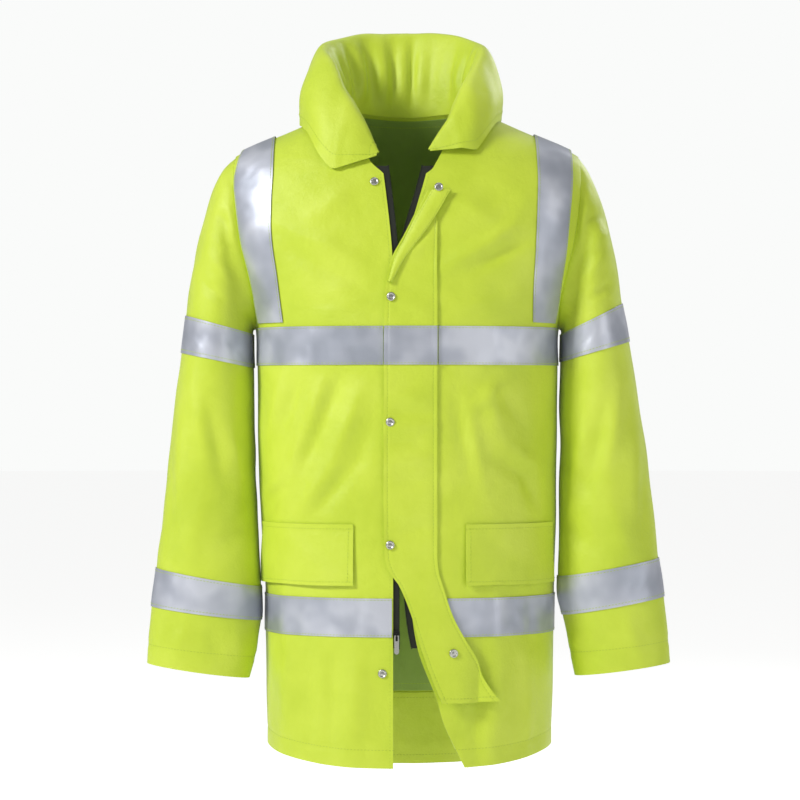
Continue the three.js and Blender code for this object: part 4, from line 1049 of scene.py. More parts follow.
def build_brace(name, front, sign, nodes, finish):
    """Tape that runs up the front, over the shoulder and down the back in one strip."""
    column = "left" if sign < 0 else "right"
    heights = levels(YOKE_Z, UNDERARM_Z, step=6)[:-1]
    strips = 12

    def limits(panel, z):
        share = 0.0 if panel.side == "front" or sign > 0 else 1.0
        reach = abs(panel.row(z, np.array([share]))[0, 0])
        outer = sign * min(reach - 2.5, abs(float(read(BRACES, "z", z, column + "_outer"))))
        return outer, float(read(BRACES, "z", z, column + "_inner"))
    top = np.linspace(sign * 214.0, float(read(BRACES, "z", 0, column + "_inner")), strips + 1)
    halves = []
    for panel in (front, BACK):
        points, _ = panel.cut(heights, lambda z, panel=panel: limits(panel, z), strips)
        upper = over_shoulder(panel.side, top, points[0, :, 0], 12)
        halves.append(np.concatenate([upper[:-1], points]))
    points = np.concatenate([halves[0][::-1], halves[1][1:]])
    normals = facing(points, grid_normals(points, False), BACK.outward)
    ridge = np.exp(-((points[..., 1] / 60) ** 2)) * smooth(-150, -80, points[..., 2])
    lift = 0.9 + 0.9 * ridge
    obj = laid(name, points, normals, lift, TAPE_CLOTH)
    declare(obj, points, nodes, finish)
    over = (lift + TAPE_CLOTH + 0.1)[:, :1]
    for first, second in ((0, 1), (-1, -2)):
        sew(mix(points[:, first], points[:, second], 0.5), normals[:, first], over)
    return obj


def build_pocket_flap(name, panel, limits, finish):
    """A pocket flap sewn down along its top, whose lower edge stands a little off the front."""
    heights = levels(POCKET_Z[0], POCKET_Z[0] - 3, POCKET_Z[0] - 6, POCKET_Z[1] + 6, POCKET_Z[1], step=5)
    strips = 30
    points, normals = panel.cut(heights, lambda z: limits, strips)
    drop = np.linspace(0, 1, len(heights))[:, None]
    across = np.linspace(0, 1, strips + 1)
    lift = LAID_GAP + 3.0 * drop + 0.9 * drop * np.cos(across * 9.4 + panel.sign)
    lift = lift + 0.9 * np.exp(-(((np.array(heights)[:, None] - POCKET_Z[0] + 1) / 2.2) ** 2))
    lift = lift - 0.5 * np.exp(-(((np.array(heights)[:, None] - POCKET_Z[0] + 6) / 1.8) ** 2))
    obj = laid(name, points, normals, lift, FLAP_CLOTH)
    declare(obj, points, [name], finish)
    over = points + normals * (lift + FLAP_CLOTH + 0.1)[..., None]
    sew(over[2])
    sew(mix(over[-1], over[-2], 0.8))
    sew(over[2:-1, 1])
    sew(over[2:-1, -2])
    return obj


def over_fronts(heights, limits, shares):
    """Points and normals laid over both fronts, at the shares between the distances limits gives."""
    fine = np.linspace(0.15, 1, 110)
    sides = [panel.lay(heights, fine) for panel in (FRONT_RIGHT, FRONT_LEFT)]
    points, normals = (np.concatenate([side[k] for side in sides], axis=1) for k in (0, 1))
    result = np.empty((2, len(heights), len(shares), 3))
    for i, z in enumerate(heights):
        order = np.argsort(points[i, :, 0])
        start, end = limits(z)
        x = mix(start, end, shares)
        for k in range(3):
            result[0, i, :, k] = np.interp(x, points[i, order, 0], points[i, order, k])
            result[1, i, :, k] = np.interp(x, points[i, order, 0], normals[i, order, k])
    result[1] /= np.linalg.norm(result[1], axis=-1, keepdims=True)
    return result


def flap_limits(z):
    return float(read(FLAP_LINE, "z", z, "free")), float(read(FLAP_LINE, "z", z, "seam"))


FLAP_SHARES = np.array([0, 0.03, 0.06, 0.075, 0.09, 0.12, 0.18, 0.25, 0.33, 0.41, 0.5, 0.59, 0.67, 0.75, 0.82,
                        0.88, 0.915, 0.93, 0.945, 0.97, 1])


def flap_lift(points, heights):
    """How far the storm flap's under side stands off the fronts."""
    z = np.asarray(heights)[:, None]
    lift = FLAP_LIFT + FLAP_BOTTOM_SWING * smooth(-600, -760, z)
    free = (1 - FLAP_SHARES)[None] ** 2
    lift = lift + 1.3 * free * np.abs(np.sin((z + 254) * math.pi / 159)) * smooth(-250, -290, z)
    shown = smooth(-345, -365, z) * smooth(-620, -600, z) + smooth(-286, -270, z)
    return lift + fold_at(FLAP_FOLDS, points) * shown


def build_storm_flap(finish, tape):
    heights = levels(-118, UNDERARM_Z, CHEST_BAND_Z[1], -600, HEM_START_Z, -769, step=6)
    points, normals = over_fronts(heights, flap_limits, FLAP_SHARES)
    lift = flap_lift(points, heights)
    for line in (0.075, 0.93):
        lift = lift - 0.45 * np.exp(-(((FLAP_SHARES - line) / 0.014) ** 2))[None]
    obj = laid("storm_flap", points, normals, lift, FLAP_CLOTH)
    declare(obj, points, ["storm_flap"], finish)
    over = points + normals * (lift + FLAP_CLOTH + 0.1)[..., None]
    shown = [k for k, z in enumerate(heights) if z < -245]
    sew(over[shown][:, 3])
    sew(over[:, 17])
    sew(over[-2])
    rows = [k for k, z in enumerate(heights) if CHEST_BAND_Z[0] >= z >= CHEST_BAND_Z[1]]
    band = over[rows] + normals[rows] * (LAID_GAP - 0.1)
    cover = wall("chest_band_flap", band + normals[rows] * TAPE_CLOTH, band)
    declare(cover, band, ["chest_band_flap"], tape)
    for first, second in ((0, 1), (-1, -2)):
        sew(mix(band[first], band[second], 0.35), normals[rows][first], TAPE_CLOTH + 0.1)
    return obj


def build_turned_top(finish):
    """The flap's top corner, turned back into a narrow roll that lies on the flap."""
    heights = levels(-118, -235, step=5)
    shares = np.linspace(0, 1, 13)

    def limits(z):
        return float(read(TURNED_LINE, "z", z, "from")), float(read(TURNED_LINE, "z", z, "to"))
    points, normals = over_fronts(heights, limits, shares)
    roll = np.interp(shares, [0, 0.2, 0.45, 0.7, 1], [0, 1.7, 2.5, 2.2, 1.0])
    lift = FLAP_LIFT + FLAP_CLOTH + 0.6 + roll[None] + 0 * np.array(heights)[:, None]
    obj = laid("storm_flap_turned_top", points, normals, lift, FLAP_CLOTH)
    declare(obj, points, ["storm_flap_turned_top"], finish)
    over = points + normals * (lift + FLAP_CLOTH + 0.1)[..., None]
    sew(over[:, 1])
    sew(over[:, -2])
    return obj


def build_collar(finish):
    grid, seen = collar_grid()
    obj = wall("collar", grid, seen)
    declare(obj, grid, ["collar"], finish)
    away = seen - grid
    away /= np.linalg.norm(away, axis=-1, keepdims=True)
    edge = int(round(COLLAR_STITCH_SHARE * (len(seen) - 1)))
    sew(seen[edge], away[edge], 0.1)
    for column in (2, -3):
        sew(seen[4:edge + 1, column], away[4:edge + 1, column], 0.1)
    return obj


def build_lining(name, heights, finish, slot, seed):
    shares = np.linspace(3 / 18, 15 / 18, 61)
    points, normals = BACK.lay(heights, shares)
    depth = np.abs(ripple(points * np.array([1.6, 1, 0.5]), seed, 2.6 if slot == "lining" else 0.5))
    z = np.array(heights)[:, None]
    depth = depth * smooth(heights[0], heights[0] - 20, z) * smooth(heights[-1], heights[-1] + 20, z)
    near = points - normals * (CLOTH + LAID_GAP + depth)[..., None]
    obj = wall(name, near, near - normals * LINING_CLOTH)
    declare(obj, near, [name], finish)
    sew(near[1], -normals[1], LINING_CLOTH + 0.1)
    sew(near[-2], -normals[-2], LINING_CLOTH + 0.1)
    return obj


# Zip, studs and sewing


def tape_line(edges, z, offset):
    """A point of a zip tape, behind the front's surface and offset past the front's edge."""
    x = float(read(EDGES, "z", z, edges)) + offset
    angle = angle_at(x, z)
    points = on_body(np.array([angle - 0.01, angle, angle + 0.01]), z)
    along = points[2] - points[0]
    up = on_body(angle, z + 2) - on_body(angle, z - 2)
    normal = np.cross(along, up)
    normal /= np.linalg.norm(normal)
    normal *= -1 if normal[1] > 0 else 1
    return points[1] - normal * ZIP_DEPTH, normal


def build_zip_tape(name, edges, way, finish):
    """A woven tape along a front's edge, with the noted line that its teeth are set on."""
    heights = levels(-84, -235, -600, -700, step=6)
    offsets = [-8, -4, 0, 2.4, 5.0, 7.6]
    made = [[tape_line(edges, z, way * offset) for offset in offsets] for z in heights]
    points = np.array([[each[0] for each in row] for row in made])
    normals = np.array([[each[1] for each in row] for row in made])
    obj = wall(name, points + normals * 0.6, points - normals * 0.6)
    declare(obj, points, [name], finish)
    return points[:, -1] + normals[:, -1] * 0.2


def repeated(name, lines, shape, pitch, finish, seed=4):
    """Copies of a small solid along lines of points, set by Geometry Nodes and made a plain mesh.

    shape is the solid's radius, length and share of the radius by which it is flattened.
    """
    mesh = bpy.data.meshes.new(name)
    points, edges = [], []
    for line, closed in lines:
        first = len(points)
        points += [tuple(point) for point in line]
        edges += [(first + k, first + k + 1) for k in range(len(line) - 1)]
        if closed:
            edges.append((first + len(line) - 1, first))
    mesh.from_pydata(points, edges, [])
    obj = bpy.data.objects.new(name, mesh)
    bpy.context.scene.collection.objects.link(obj)
    tree = repeat_tree(name)
    modifier = obj.modifiers.new("repeat", "NODES")
    modifier.node_group = tree
    values = {"Radius": shape[0], "Length": shape[1], "Flatness": shape[2], "Pitch": pitch, "Seed": seed,
              "Finish": finish}
    for item in tree.interface.items_tree:
        if item.name in values and item.in_out == "INPUT":
            modifier[item.identifier] = values[item.name]
    bpy.context.view_layer.update()
    made = obj.evaluated_get(bpy.context.evaluated_depsgraph_get())
    plain = bpy.data.meshes.new_from_object(made)
    obj.modifiers.remove(modifier)
    obj.data = plain
    bpy.data.meshes.remove(mesh)
    plain.name = name
    plain.shade_smooth()
    if len(plain.polygons) < 100:
        raise RuntimeError(name + " came out empty")
    return obj


def repeat_tree(name):
    """Copies of a rounded solid along each line of a mesh, a pitch apart, each turned a little at random."""
    tree = bpy.data.node_groups.new(name, "GeometryNodeTree")
    for label, kind, default in (("Lines", "NodeSocketGeometry", None), ("Radius", "NodeSocketFloat", 0.0004),
                                 ("Length", "NodeSocketFloat", 0.003), ("Flatness", "NodeSocketFloat", 0.6),
                                 ("Pitch", "NodeSocketFloat", 0.004), ("Seed", "NodeSocketInt", 4),
                                 ("Finish", "NodeSocketMaterial", None)):
        socket = tree.interface.new_socket(label, in_out="INPUT", socket_type=kind)
        if default is not None:
            socket.default_value = default
    tree.interface.new_socket("Copies", in_out="OUTPUT", socket_type="NodeSocketGeometry")
    given = node(tree, "NodeGroupInput").outputs
    curves = node(tree, "GeometryNodeMeshToCurve", Mesh=given["Lines"]).outputs[0]
    along = node(tree, "GeometryNodeCurveToPoints", {"mode": "LENGTH"}, Curve=curves, Length=given["Pitch"])
    wide = node(tree, "ShaderNodeMath", {"operation": "MULTIPLY"}, i0=given["Radius"], i1=given["Flatness"])
    size = node(tree, "ShaderNodeCombineXYZ", X=wide.outputs[0], Y=given["Radius"], Z=given["Length"])
    ball = node(tree, "GeometryNodeMeshUVSphere", Segments=6, Rings=4, Radius=1.0).outputs[0]
    solid = node(tree, "GeometryNodeTransform", Geometry=ball, Scale=size.outputs[0]).outputs[0]
    turn = node(tree, "FunctionNodeRandomValue", {"data_type": "FLOAT_VECTOR"}, Seed=given["Seed"])
    turn.inputs[0].default_value = (-0.05, -0.05, -0.05)
    turn.inputs[1].default_value = (0.05, 0.05, 0.05)
    placed = node(tree, "FunctionNodeRotateRotation", {"rotation_space": "LOCAL"},
                  Rotation=along.outputs["Rotation"], Rotate_By=turn.outputs[0])
    copies = node(tree, "GeometryNodeInstanceOnPoints", Points=along.outputs["Points"], Instance=solid,
                  Rotation=placed.outputs[0]).outputs[0]
    real = node(tree, "GeometryNodeRealizeInstances", Geometry=copies).outputs[0]
    done = node(tree, "GeometryNodeSetMaterial", Geometry=real, Material=given["Finish"]).outputs[0]
    node(tree, "NodeGroupOutput", Copies=done)
    return tree


def turned(name, profile, finish, segments=40):
    """A solid turned from (radius, height) points in millimetres, about its own Z."""
    points, faces = [(0, 0, profile[0][1] * MM)], []
    for radius, height in profile[1:-1]:
        for k in range(segments):
            angle = 2 * math.pi * k / segments
            points.append((radius * math.cos(angle) * MM, radius * math.sin(angle) * MM, height * MM))
    points.append((0, 0, profile[-1][1] * MM))
    rings = len(profile) - 2
    for k in range(segments):
        after = (k + 1) % segments
        faces.append((0, 1 + after, 1 + k))
        for i in range(rings - 1):
            a, b = 1 + i * segments, 1 + (i + 1) * segments
            faces.append((a + k, a + after, b + after, b + k))
        last = 1 + (rings - 1) * segments
        faces.append((last + k, last + after, len(points) - 1))
    obj = finish_mesh(name, points, faces)
    obj.data.materials.append(finish)
    return obj


STUD_PROFILE = ((0, 0), (5.0, 0), (5.6, 0.5), (5.6, 1.5), (5.2, 2.1), (4.5, 2.4), (3.9, 2.35), (3.5, 2.0),
                (3.1, 1.75), (2.4, 1.8), (1.6, 2.0), (0.7, 2.1), (0, 2.12))


def build_stud(name, finish):
    """A press stud's cap where the frame has it: a rolled rim round a low dome."""
    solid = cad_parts[name]
    corners = np.array([solid.matrix_world @ v.co for v in solid.data.vertices])
    middle = corners.mean(axis=0)
    _, _, ways = np.linalg.svd(corners - middle, full_matrices=False)
    axis = ways[-1] * (-1 if ways[-1][1] > 0 else 1)
    reach = (corners - middle) @ axis
    obj = turned(name + "_cap", STUD_PROFILE, finish)
    turn = Vector((0, 0, 1)).rotation_difference(Vector(axis)).to_matrix().to_4x4()
    obj.data.transform(turn)
    base = Vector(middle + axis * reach.min())
    for vertex in obj.data.vertices:
        vertex.co += base
    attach(obj, "jacket")
    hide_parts(name)
    return obj


# Materials


def colour(text):
    """An sRGB hex colour as linear red, green, blue and alpha."""
    parts = [int(text[k:k + 2], 16) / 255 for k in (1, 3, 5)]
    return [p / 12.92 if p <= 0.04045 else ((p + 0.055) / 1.055) ** 2.4 for p in parts] + [1.0]


def node(tree, kind, settings=None, **inputs):
    """A node with its settings and inputs. An input may be a value or another node's output."""
    made = tree.nodes.new(kind)
    for name, value in (settings or {}).items():
        setattr(made, name, value)
    for name, value in inputs.items():
        socket = made.inputs[int(name[1:])] if name[0] == "i" and name[1:].isdigit() \
            else made.inputs[name.replace("_", " ")]
        if isinstance(value, bpy.types.NodeSocket):
            tree.links.new(value, socket)
        else:
            socket.default_value = value
    return made


def new_material(name):
    finish = bpy.data.materials.new(name)
    finish.use_nodes = True
    finish.node_tree.nodes.clear()
    return finish, finish.node_tree


def ramp(tree, factor, stops):
    """A colour ramp from (place, colour) stops."""
    made = node(tree, "ShaderNodeValToRGB", Fac=factor)
    while len(made.color_ramp.elements) < len(stops):
        made.color_ramp.elements.new(0.5)
    for element, (place, value) in zip(made.color_ramp.elements, stops):
        element.position = place
        element.color = colour(value)
    return made.outputs["Color"]


def weave(tree, thread):
    """The height of a plain weave whose threads are thread metres apart, on the piece's own map."""
    place = node(tree, "ShaderNodeUVMap", {"uv_map": "cloth"}).outputs["UV"]
    waves = []
    for axis in ("X", "Y"):
        scale = 2 * math.pi / thread / 20
        wave = node(tree, "ShaderNodeTexWave", {"bands_direction": axis, "wave_profile": "SIN"},
                    Vector=place, Scale=scale, Distortion=0.0)
        waves.append(wave.outputs["Fac"])
    return node(tree, "ShaderNodeMath", {"operation": "MULTIPLY"}, i0=waves[0], i1=waves[1]).outputs[0]


def cloth_material(name, shades, thread, roughness, sheen, crinkle, weave_depth=0.00012):
    """Woven cloth: uneven shade, weave, and fine crinkles of handling."""
    finish, tree = new_material(name)
    place = node(tree, "ShaderNodeTexCoord").outputs["Object"]
    cloudy = node(tree, "ShaderNodeTexNoise", Vector=place, Scale=9.0, Detail=4.0, Roughness=0.55)
    shade = ramp(tree, cloudy.outputs["Fac"], list(zip((0.3, 0.5, 0.7), shades)))
    fine = node(tree, "ShaderNodeTexNoise", Vector=place, Scale=55.0, Detail=5.0, Roughness=0.6)
    creases = node(tree, "ShaderNodeTexNoise", {"noise_type": "RIDGED_MULTIFRACTAL"}, Vector=place,
                   Scale=16.0, Detail=2.0, Roughness=0.5)
    rough = node(tree, "ShaderNodeMapRange", Value=fine.outputs["Fac"], To_Min=roughness - 0.07,
                 To_Max=roughness + 0.07).outputs[0]
    crinkled = node(tree, "ShaderNodeBump", Strength=crinkle, Distance=0.0025, Height=fine.outputs["Fac"])
    folded = node(tree, "ShaderNodeBump", Strength=crinkle * 0.5, Distance=0.004,
                  Height=creases.outputs["Fac"], Normal=crinkled.outputs[0])
    woven = node(tree, "ShaderNodeBump", Strength=0.5, Distance=weave_depth, Height=weave(tree, thread),
                 Normal=folded.outputs[0])
    shader = node(tree, "ShaderNodeBsdfPrincipled", Base_Color=shade, Roughness=rough, IOR=1.5,
                  Sheen_Weight=sheen, Sheen_Roughness=0.4, Normal=woven.outputs[0])
    output = node(tree, "ShaderNodeOutputMaterial", Surface=shader.outputs[0])
    output.is_active_output = True
    return finish


def tape_material():
    """Glass-bead reflective tape: a grey cloth under a layer of beads, which gives a pale metallic sheen."""
    finish, tree = new_material("glass bead reflective tape")
    place = node(tree, "ShaderNodeTexCoord").outputs["Object"]
    beads = node(tree, "ShaderNodeTexVoronoi", {"feature": "F1"}, Vector=place, Scale=1400.0)
    cloudy = node(tree, "ShaderNodeTexNoise", Vector=place, Scale=17.0, Detail=2.0, Roughness=0.5)
    shade = ramp(tree, cloudy.outputs["Fac"], [(0.35, "#A9AEBA"), (0.5, "#B9BDC9"), (0.65, "#CFD2DC")])
    rough = node(tree, "ShaderNodeMapRange", Value=cloudy.outputs["Fac"], To_Min=0.36, To_Max=0.5).outputs[0]
    grain = node(tree, "ShaderNodeBump", Strength=0.25, Distance=0.0002, Height=beads.outputs["Distance"])
    crush = node(tree, "ShaderNodeBump", Strength=0.7, Distance=0.006, Height=cloudy.outputs["Fac"],
                 Normal=grain.outputs[0])
    shader = node(tree, "ShaderNodeBsdfPrincipled", Base_Color=shade, Roughness=rough, Metallic=0.45,
                  IOR=1.5, Normal=crush.outputs[0])
    node(tree, "ShaderNodeOutputMaterial", Surface=shader.outputs[0])
    return finish


def hard_material(name, base, roughness, metallic):
    """A plated or moulded hard piece, faintly uneven and scuffed."""
    finish, tree = new_material(name)
    place = node(tree, "ShaderNodeTexCoord").outputs["Object"]
    scuffs = node(tree, "ShaderNodeTexNoise", Vector=place, Scale=420.0, Detail=3.0)
    rough = node(tree, "ShaderNodeMapRange", Value=scuffs.outputs["Fac"], To_Min=roughness - 0.08,
                 To_Max=roughness + 0.1).outputs[0]
    uneven = node(tree, "ShaderNodeBump", Strength=0.12, Distance=0.0002, Height=scuffs.outputs["Fac"])
    shader = node(tree, "ShaderNodeBsdfPrincipled", Base_Color=colour(base), Roughness=rough,
                  Metallic=metallic, Normal=uneven.outputs[0])
    node(tree, "ShaderNodeOutputMaterial", Surface=shader.outputs[0])
    return finish


# The jacket's settings


class JacketSewing(PropertyGroup):
    stitch_radius: FloatProperty(
        name="Thread radius", description="Half the width of a stitch", default=0.00042, unit="LENGTH")
    stitch_length: FloatProperty(
        name="Stitch half length", description="Half the length of a stitch", default=0.00155, unit="LENGTH")
    stitch_pitch: FloatProperty(
        name="Stitch pitch", description="Distance from stitch to stitch", default=0.0044, unit="LENGTH")
    tooth_radius: FloatProperty(
        name="Tooth radius", description="Half the width of a zip tooth", default=0.0016, unit="LENGTH")
    tooth_length: FloatProperty(
        name="Tooth half height", description="Half the height of a zip tooth", default=0.0009, unit="LENGTH")
    tooth_pitch: FloatProperty(
        name="Tooth pitch", description="Distance from tooth to tooth", default=0.0026, unit="LENGTH")
    seed: IntProperty(name="Seed", description="Seed of the stitches' uneven turns", default=4)


class JacketStage(PropertyGroup):
    camera_place: FloatVectorProperty(
        name="Camera place", description="Where the camera stands", size=3, unit="LENGTH",
        default=(-0.00924, -3.6, -0.385))
    width_seen: FloatProperty(
        name="Width seen", description="Width in view at the jacket's middle", default=1.056, unit="LENGTH")
    floor_z: FloatProperty(
        name="Floor height", description="Height of the floor below the jacket", default=-1.25, unit="LENGTH")
    key_power: FloatProperty(
        name="Key light", description="Power of the light from the upper left", default=112.0, unit="POWER")
    fill_power: FloatProperty(
        name="Fill light", description="Power of the light from the right", default=22.0, unit="POWER")
    back_power: FloatProperty(
        name="Back light", description="Power of the light behind the jacket", default=45.0, unit="POWER")
    world_strength: FloatProperty(
        name="Pale surroundings", description="Strength of the even light all round", default=0.27)


def finishes():
    """The jacket's materials, made once."""
    if "hi-vis yellow cloth" not in bpy.data.materials:
        cloth_material("hi-vis yellow cloth", ("#C2D832", "#CCE03C", "#D4E64A"), 0.0006, 0.46, 0.2, 0.5)
        cloth_material("lining cloth", ("#86A24C", "#91AD52", "#9EBA5E"), 0.0005, 0.75, 0.1, 0.35)
        cloth_material("zip tape cloth", ("#10130A", "#15190D", "#1C2012"), 0.0012, 0.7, 0.1, 0.2,
                       weave_depth=0.0003)
        cloth_material("sewing thread", ("#A9C22E", "#B4CC36", "#BED440"), 0.0004, 0.6, 0.3, 0.1)
        tape_material()
        hard_material("black moulded zip", "#14160F", 0.45, 0.0)
        hard_material("nickel plated steel", "#C9C9C2", 0.28, 1.0)
        hard_material("black enamelled metal", "#1A1B18", 0.35, 0.4)
    return {key: bpy.data.materials[name] for key, name in (
        ("cloth", "hi-vis yellow cloth"), ("lining", "lining cloth"), ("zip_tape", "zip tape cloth"),
        ("thread", "sewing thread"), ("tape", "glass bead reflective tape"), ("tooth", "black moulded zip"),
        ("steel", "nickel plated steel"), ("enamel", "black enamelled metal"))}


# Operators


class JACKET_OT_body(Operator):
    """The two fronts and the back"""

    bl_idname = "jacket.body"
    bl_label = "Body panels"

    def execute(self, context):
        cloth = finishes()["cloth"]
        build_front("front_right", FRONT_RIGHT, cloth)
        build_front("front_left", FRONT_LEFT, cloth)
        build_back(cloth)
        return {"FINISHED"}


class JACKET_OT_sleeves(Operator):
    """The sleeves with their bands of tape"""

    bl_idname = "jacket.sleeves"
    bl_label = "Sleeves"

    def execute(self, context):
        found = finishes()
        for side, rings, front, sign in (("right", SLEEVE_RIGHT, FRONT_RIGHT, -1),
                                         ("left", SLEEVE_LEFT, FRONT_LEFT, 1)):
            sleeve = Sleeve(rings, front, sign)
            build_sleeve("sleeve_" + side, sleeve, found["cloth"])
            for place, limits in (("upper", UPPER_BAND), ("lower", LOWER_BAND)):
                name = "sleeve_band_" + place + "_" + side
                build_sleeve_band(name, sleeve, limits, found["tape"])
        return {"FINISHED"}


class JACKET_OT_collar(Operator):
    """The collar, which stands up from the neck and falls outside"""

    bl_idname = "jacket.collar"
    bl_label = "Collar"

    def execute(self, context):
        build_collar(finishes()["cloth"])
        return {"FINISHED"}


class JACKET_OT_tape(Operator):
    """The bands of tape round the body and the braces over the shoulders"""

    bl_idname = "jacket.tape"
    bl_label = "Reflective tape"

    def execute(self, context):
        tape = finishes()["tape"]
        chest = levels(*CHEST_BAND_Z, step=6)
        hem = levels(*HEM_BAND_Z, step=6)
        for side, panel, sign in (("right", FRONT_RIGHT, -1), ("left", FRONT_LEFT, 1)):
            def side_x(z, panel=panel, sign=sign):
                return sign * (abs(panel.row(z, np.array([0.0]))[0, 0]) - 0.6)
            inner = -30.5 if sign < 0 else 39.5
            build_band(
                "chest_band_" + side, panel, chest, lambda z: self.order(side_x(z), inner), tape)

            def hem_x(z, sign=sign):
                return -19.5 if sign < 0 else float(read(EDGES, "z", z, "right")) + 47
            build_band("hem_band_" + side, panel, hem, lambda z: self.order(side_x(z), hem_x(z)), tape)
            nodes = ["brace_front_" + side, "brace_back_" + side]
            build_brace("brace_" + side, panel, sign, nodes, tape)
        for name, heights in (("chest_band_back", chest), ("hem_band_back", hem)):
            build_band(name, BACK, heights, self.whole_back, tape, strips=90)
        return {"FINISHED"}

    @staticmethod
    def order(a, b):
        return min(a, b), max(a, b)

    @staticmethod
    def whole_back(z):
        ends = BACK.row(z, np.array([0.0, 1.0]))[:, 0]
        return ends.min() + 0.6, ends.max() - 0.6


class JACKET_OT_flaps(Operator):
    """The storm flap with its turned top corner, and the pocket flaps"""

    bl_idname = "jacket.flaps"
    bl_label = "Flaps"

    def execute(self, context):
        found = finishes()
        build_storm_flap(found["cloth"], found["tape"])
        build_turned_top(found["cloth"])
        for side, panel, limits in zip(("right", "left"), (FRONT_RIGHT, FRONT_LEFT), POCKETS):
            build_pocket_flap("pocket_flap_" + side, panel, limits, found["cloth"])
        return {"FINISHED"}


class JACKET_OT_lining(Operator):
    """The lining inside the back and the facing of its hem"""

    bl_idname = "jacket.lining"
    bl_label = "Lining"

    def execute(self, context):
        found = finishes()
        build_lining("back_lining", levels(-4, YOKE_Z, UNDERARM_Z, HEM_START_Z, -768, step=8),
                     found["lining"], "lining", 31)
        build_lining("hem_facing", levels(-770, -848, step=6), found["cloth"], "yellow_cloth", 37)
        return {"FINISHED"}


class JACKET_OT_zip(Operator):
    """The parted zip: tapes, teeth, slider and pull"""

    bl_idname = "jacket.zip"
    bl_label = "Zip"

    def execute(self, context):
        found = finishes()
        size = context.scene.jacket_sewing
        lines = []
        for side, edges, way in (("right", "left", 1), ("left", "right", -1)):
            line = build_zip_tape("zip_tape_" + side, edges, way, found["zip_tape"])
            lines.append((line * MM, False))
        teeth = repeated("zip_teeth", lines, (size.tooth_radius, size.tooth_length, 0.8), size.tooth_pitch,
                         found["tooth"], size.seed)
        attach(teeth, "jacket")
        for name, finish in (("zip_slider", "enamel"), ("zip_pull", "steel")):
            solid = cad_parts[name]
            solid.data.materials.clear()
            solid.data.materials.append(found[finish])
        return {"FINISHED"}


class JACKET_OT_studs(Operator):
    """The caps of the press studs"""

    bl_idname = "jacket.studs"
    bl_label = "Press studs"

    def execute(self, context):
        steel = finishes()["steel"]
        names = sorted(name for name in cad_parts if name.startswith("stud_"))
        if len(names) != 7:
            raise RuntimeError("the frame should have seven studs")
        for name in names:
            build_stud(name, steel)
        return {"FINISHED"}


class JACKET_OT_sewing(Operator):
    """The stitches along every noted line"""

    bl_idname = "jacket.sewing"
    bl_label = "Sewing"

    def execute(self, context):
        size = context.scene.jacket_sewing
        shape = (size.stitch_radius, size.stitch_length, 0.8)
        obj = repeated("stitches", SEAM_LINES, shape, size.stitch_pitch, finishes()["thread"], size.seed)
        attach(obj, "jacket")
        return {"FINISHED"}


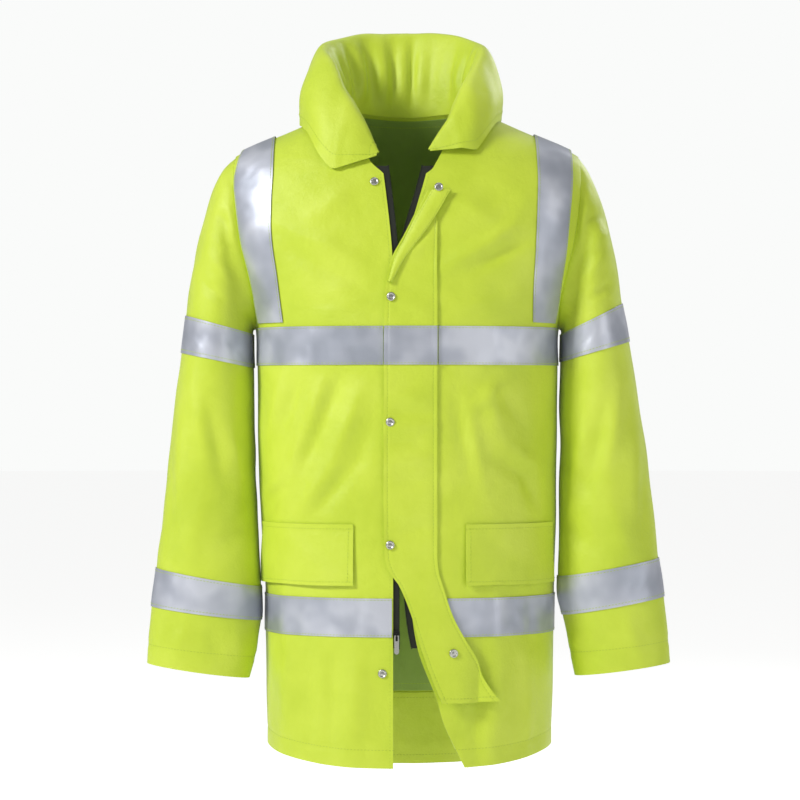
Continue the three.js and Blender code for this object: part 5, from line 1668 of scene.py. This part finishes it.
class JACKET_OT_stage(Operator):
    """A plain pale floor, soft lights and the camera"""

    bl_idname = "jacket.stage"
    bl_label = "Stage"

    def execute(self, context):
        scene = context.scene
        stage = scene.jacket_stage
        floor = self.round_floor(stage.floor_z)
        lights = [
            self.area_light("key", (-2.9, -2.1, 1.7), 0.9, stage.key_power),
            self.area_light("fill", (2.6, -2.2, 0.2), 2.2, stage.fill_power),
            self.area_light("top", (0.2, 0.6, 2.4), 1.6, 0.5 * stage.fill_power),
            self.area_light("back", (2.4, 2.8, 1.6), 1.2, stage.back_power),
        ]
        world = bpy.data.worlds.new("pale surroundings")
        world.use_nodes = True
        world.node_tree.nodes.clear()
        seen = node(world.node_tree, "ShaderNodeLightPath").outputs["Is Camera Ray"]
        strength = node(world.node_tree, "ShaderNodeMapRange", Value=seen, To_Min=stage.world_strength,
                        To_Max=1.0).outputs[0]
        light = node(world.node_tree, "ShaderNodeBackground", Color=colour("#FAFBFA"), Strength=strength)
        node(world.node_tree, "ShaderNodeOutputWorld", Surface=light.outputs[0])
        scene.world = world
        camera = bpy.data.objects.new("camera", bpy.data.cameras.new("camera"))
        scene.collection.objects.link(camera)
        camera.location = stage.camera_place
        camera.rotation_euler = (math.radians(90), 0, 0)
        camera.data.sensor_width = 36
        camera.data.lens = 36 * abs(stage.camera_place[1]) / stage.width_seen
        camera.data.dof.use_dof = False
        scene.camera = camera
        scene.view_settings.view_transform = "Standard"
        return {"FINISHED"}

    @staticmethod
    def area_light(name, place, size, power):
        light = bpy.data.objects.new(name, bpy.data.lights.new(name, "AREA"))
        light.data.size = size
        light.data.energy = power
        light.location = place
        aim = Vector((0, 0, -0.4)) - Vector(place)
        light.rotation_euler = aim.to_track_quat("-Z", "Y").to_euler()
        bpy.context.scene.collection.objects.link(light)
        return light

    @staticmethod
    def round_floor(floor_z):
        """A wide round floor, lit evenly so that it meets the pale surroundings softly."""
        turns = np.linspace(0, 2 * math.pi, 97)[:-1]
        points = [(30 * math.cos(t), 30 * math.sin(t), floor_z) for t in turns]
        mesh = bpy.data.meshes.new("floor")
        mesh.from_pydata(points, [], [tuple(range(len(points)))])
        obj = bpy.data.objects.new("floor", mesh)
        bpy.context.scene.collection.objects.link(obj)
        finish, tree = new_material("matt white floor")
        seen = node(tree, "ShaderNodeLightPath").outputs["Is Camera Ray"]
        glow = node(tree, "ShaderNodeMapRange", Value=seen, To_Min=0.25, To_Max=0.7).outputs[0]
        shader = node(tree, "ShaderNodeBsdfPrincipled", Base_Color=colour("#F2F2F0"), Roughness=0.9,
                      Emission_Color=colour("#FFFFFF"), Emission_Strength=glow)
        node(tree, "ShaderNodeOutputMaterial", Surface=shader.outputs[0])
        mesh.materials.append(finish)
        return obj


STEPS = (JACKET_OT_body, JACKET_OT_sleeves, JACKET_OT_collar, JACKET_OT_tape, JACKET_OT_flaps,
         JACKET_OT_lining, JACKET_OT_zip, JACKET_OT_studs, JACKET_OT_sewing, JACKET_OT_stage)


class JACKET_PT_panel(Panel):
    """The jacket's settings and steps in the sidebar"""

    bl_label = "Hi-vis work jacket"
    bl_idname = "JACKET_PT_panel"
    bl_space_type = "VIEW_3D"
    bl_region_type = "UI"
    bl_category = "Jacket"

    def draw(self, context):
        for group in (context.scene.jacket_sewing, context.scene.jacket_stage):
            for name in group.__annotations__:
                self.layout.prop(group, name)
        for step in STEPS:
            self.layout.operator(step.bl_idname)


CLASSES = (JacketSewing, JacketStage, *STEPS, JACKET_PT_panel)


def register():
    for each in CLASSES:
        bpy.utils.register_class(each)
    bpy.types.Scene.jacket_sewing = PointerProperty(type=JacketSewing)
    bpy.types.Scene.jacket_stage = PointerProperty(type=JacketStage)


def unregister():
    del bpy.types.Scene.jacket_stage
    del bpy.types.Scene.jacket_sewing
    for each in reversed(CLASSES):
        bpy.utils.unregister_class(each)


def main():
    register()
    bpy.ops.jacket.body()
    bpy.ops.jacket.sleeves()
    bpy.ops.jacket.collar()
    bpy.ops.jacket.tape()
    bpy.ops.jacket.flaps()
    bpy.ops.jacket.lining()
    bpy.ops.jacket.zip()
    bpy.ops.jacket.studs()
    bpy.ops.jacket.sewing()
    bpy.ops.jacket.stage()


if __name__ == "__main__":
    main()
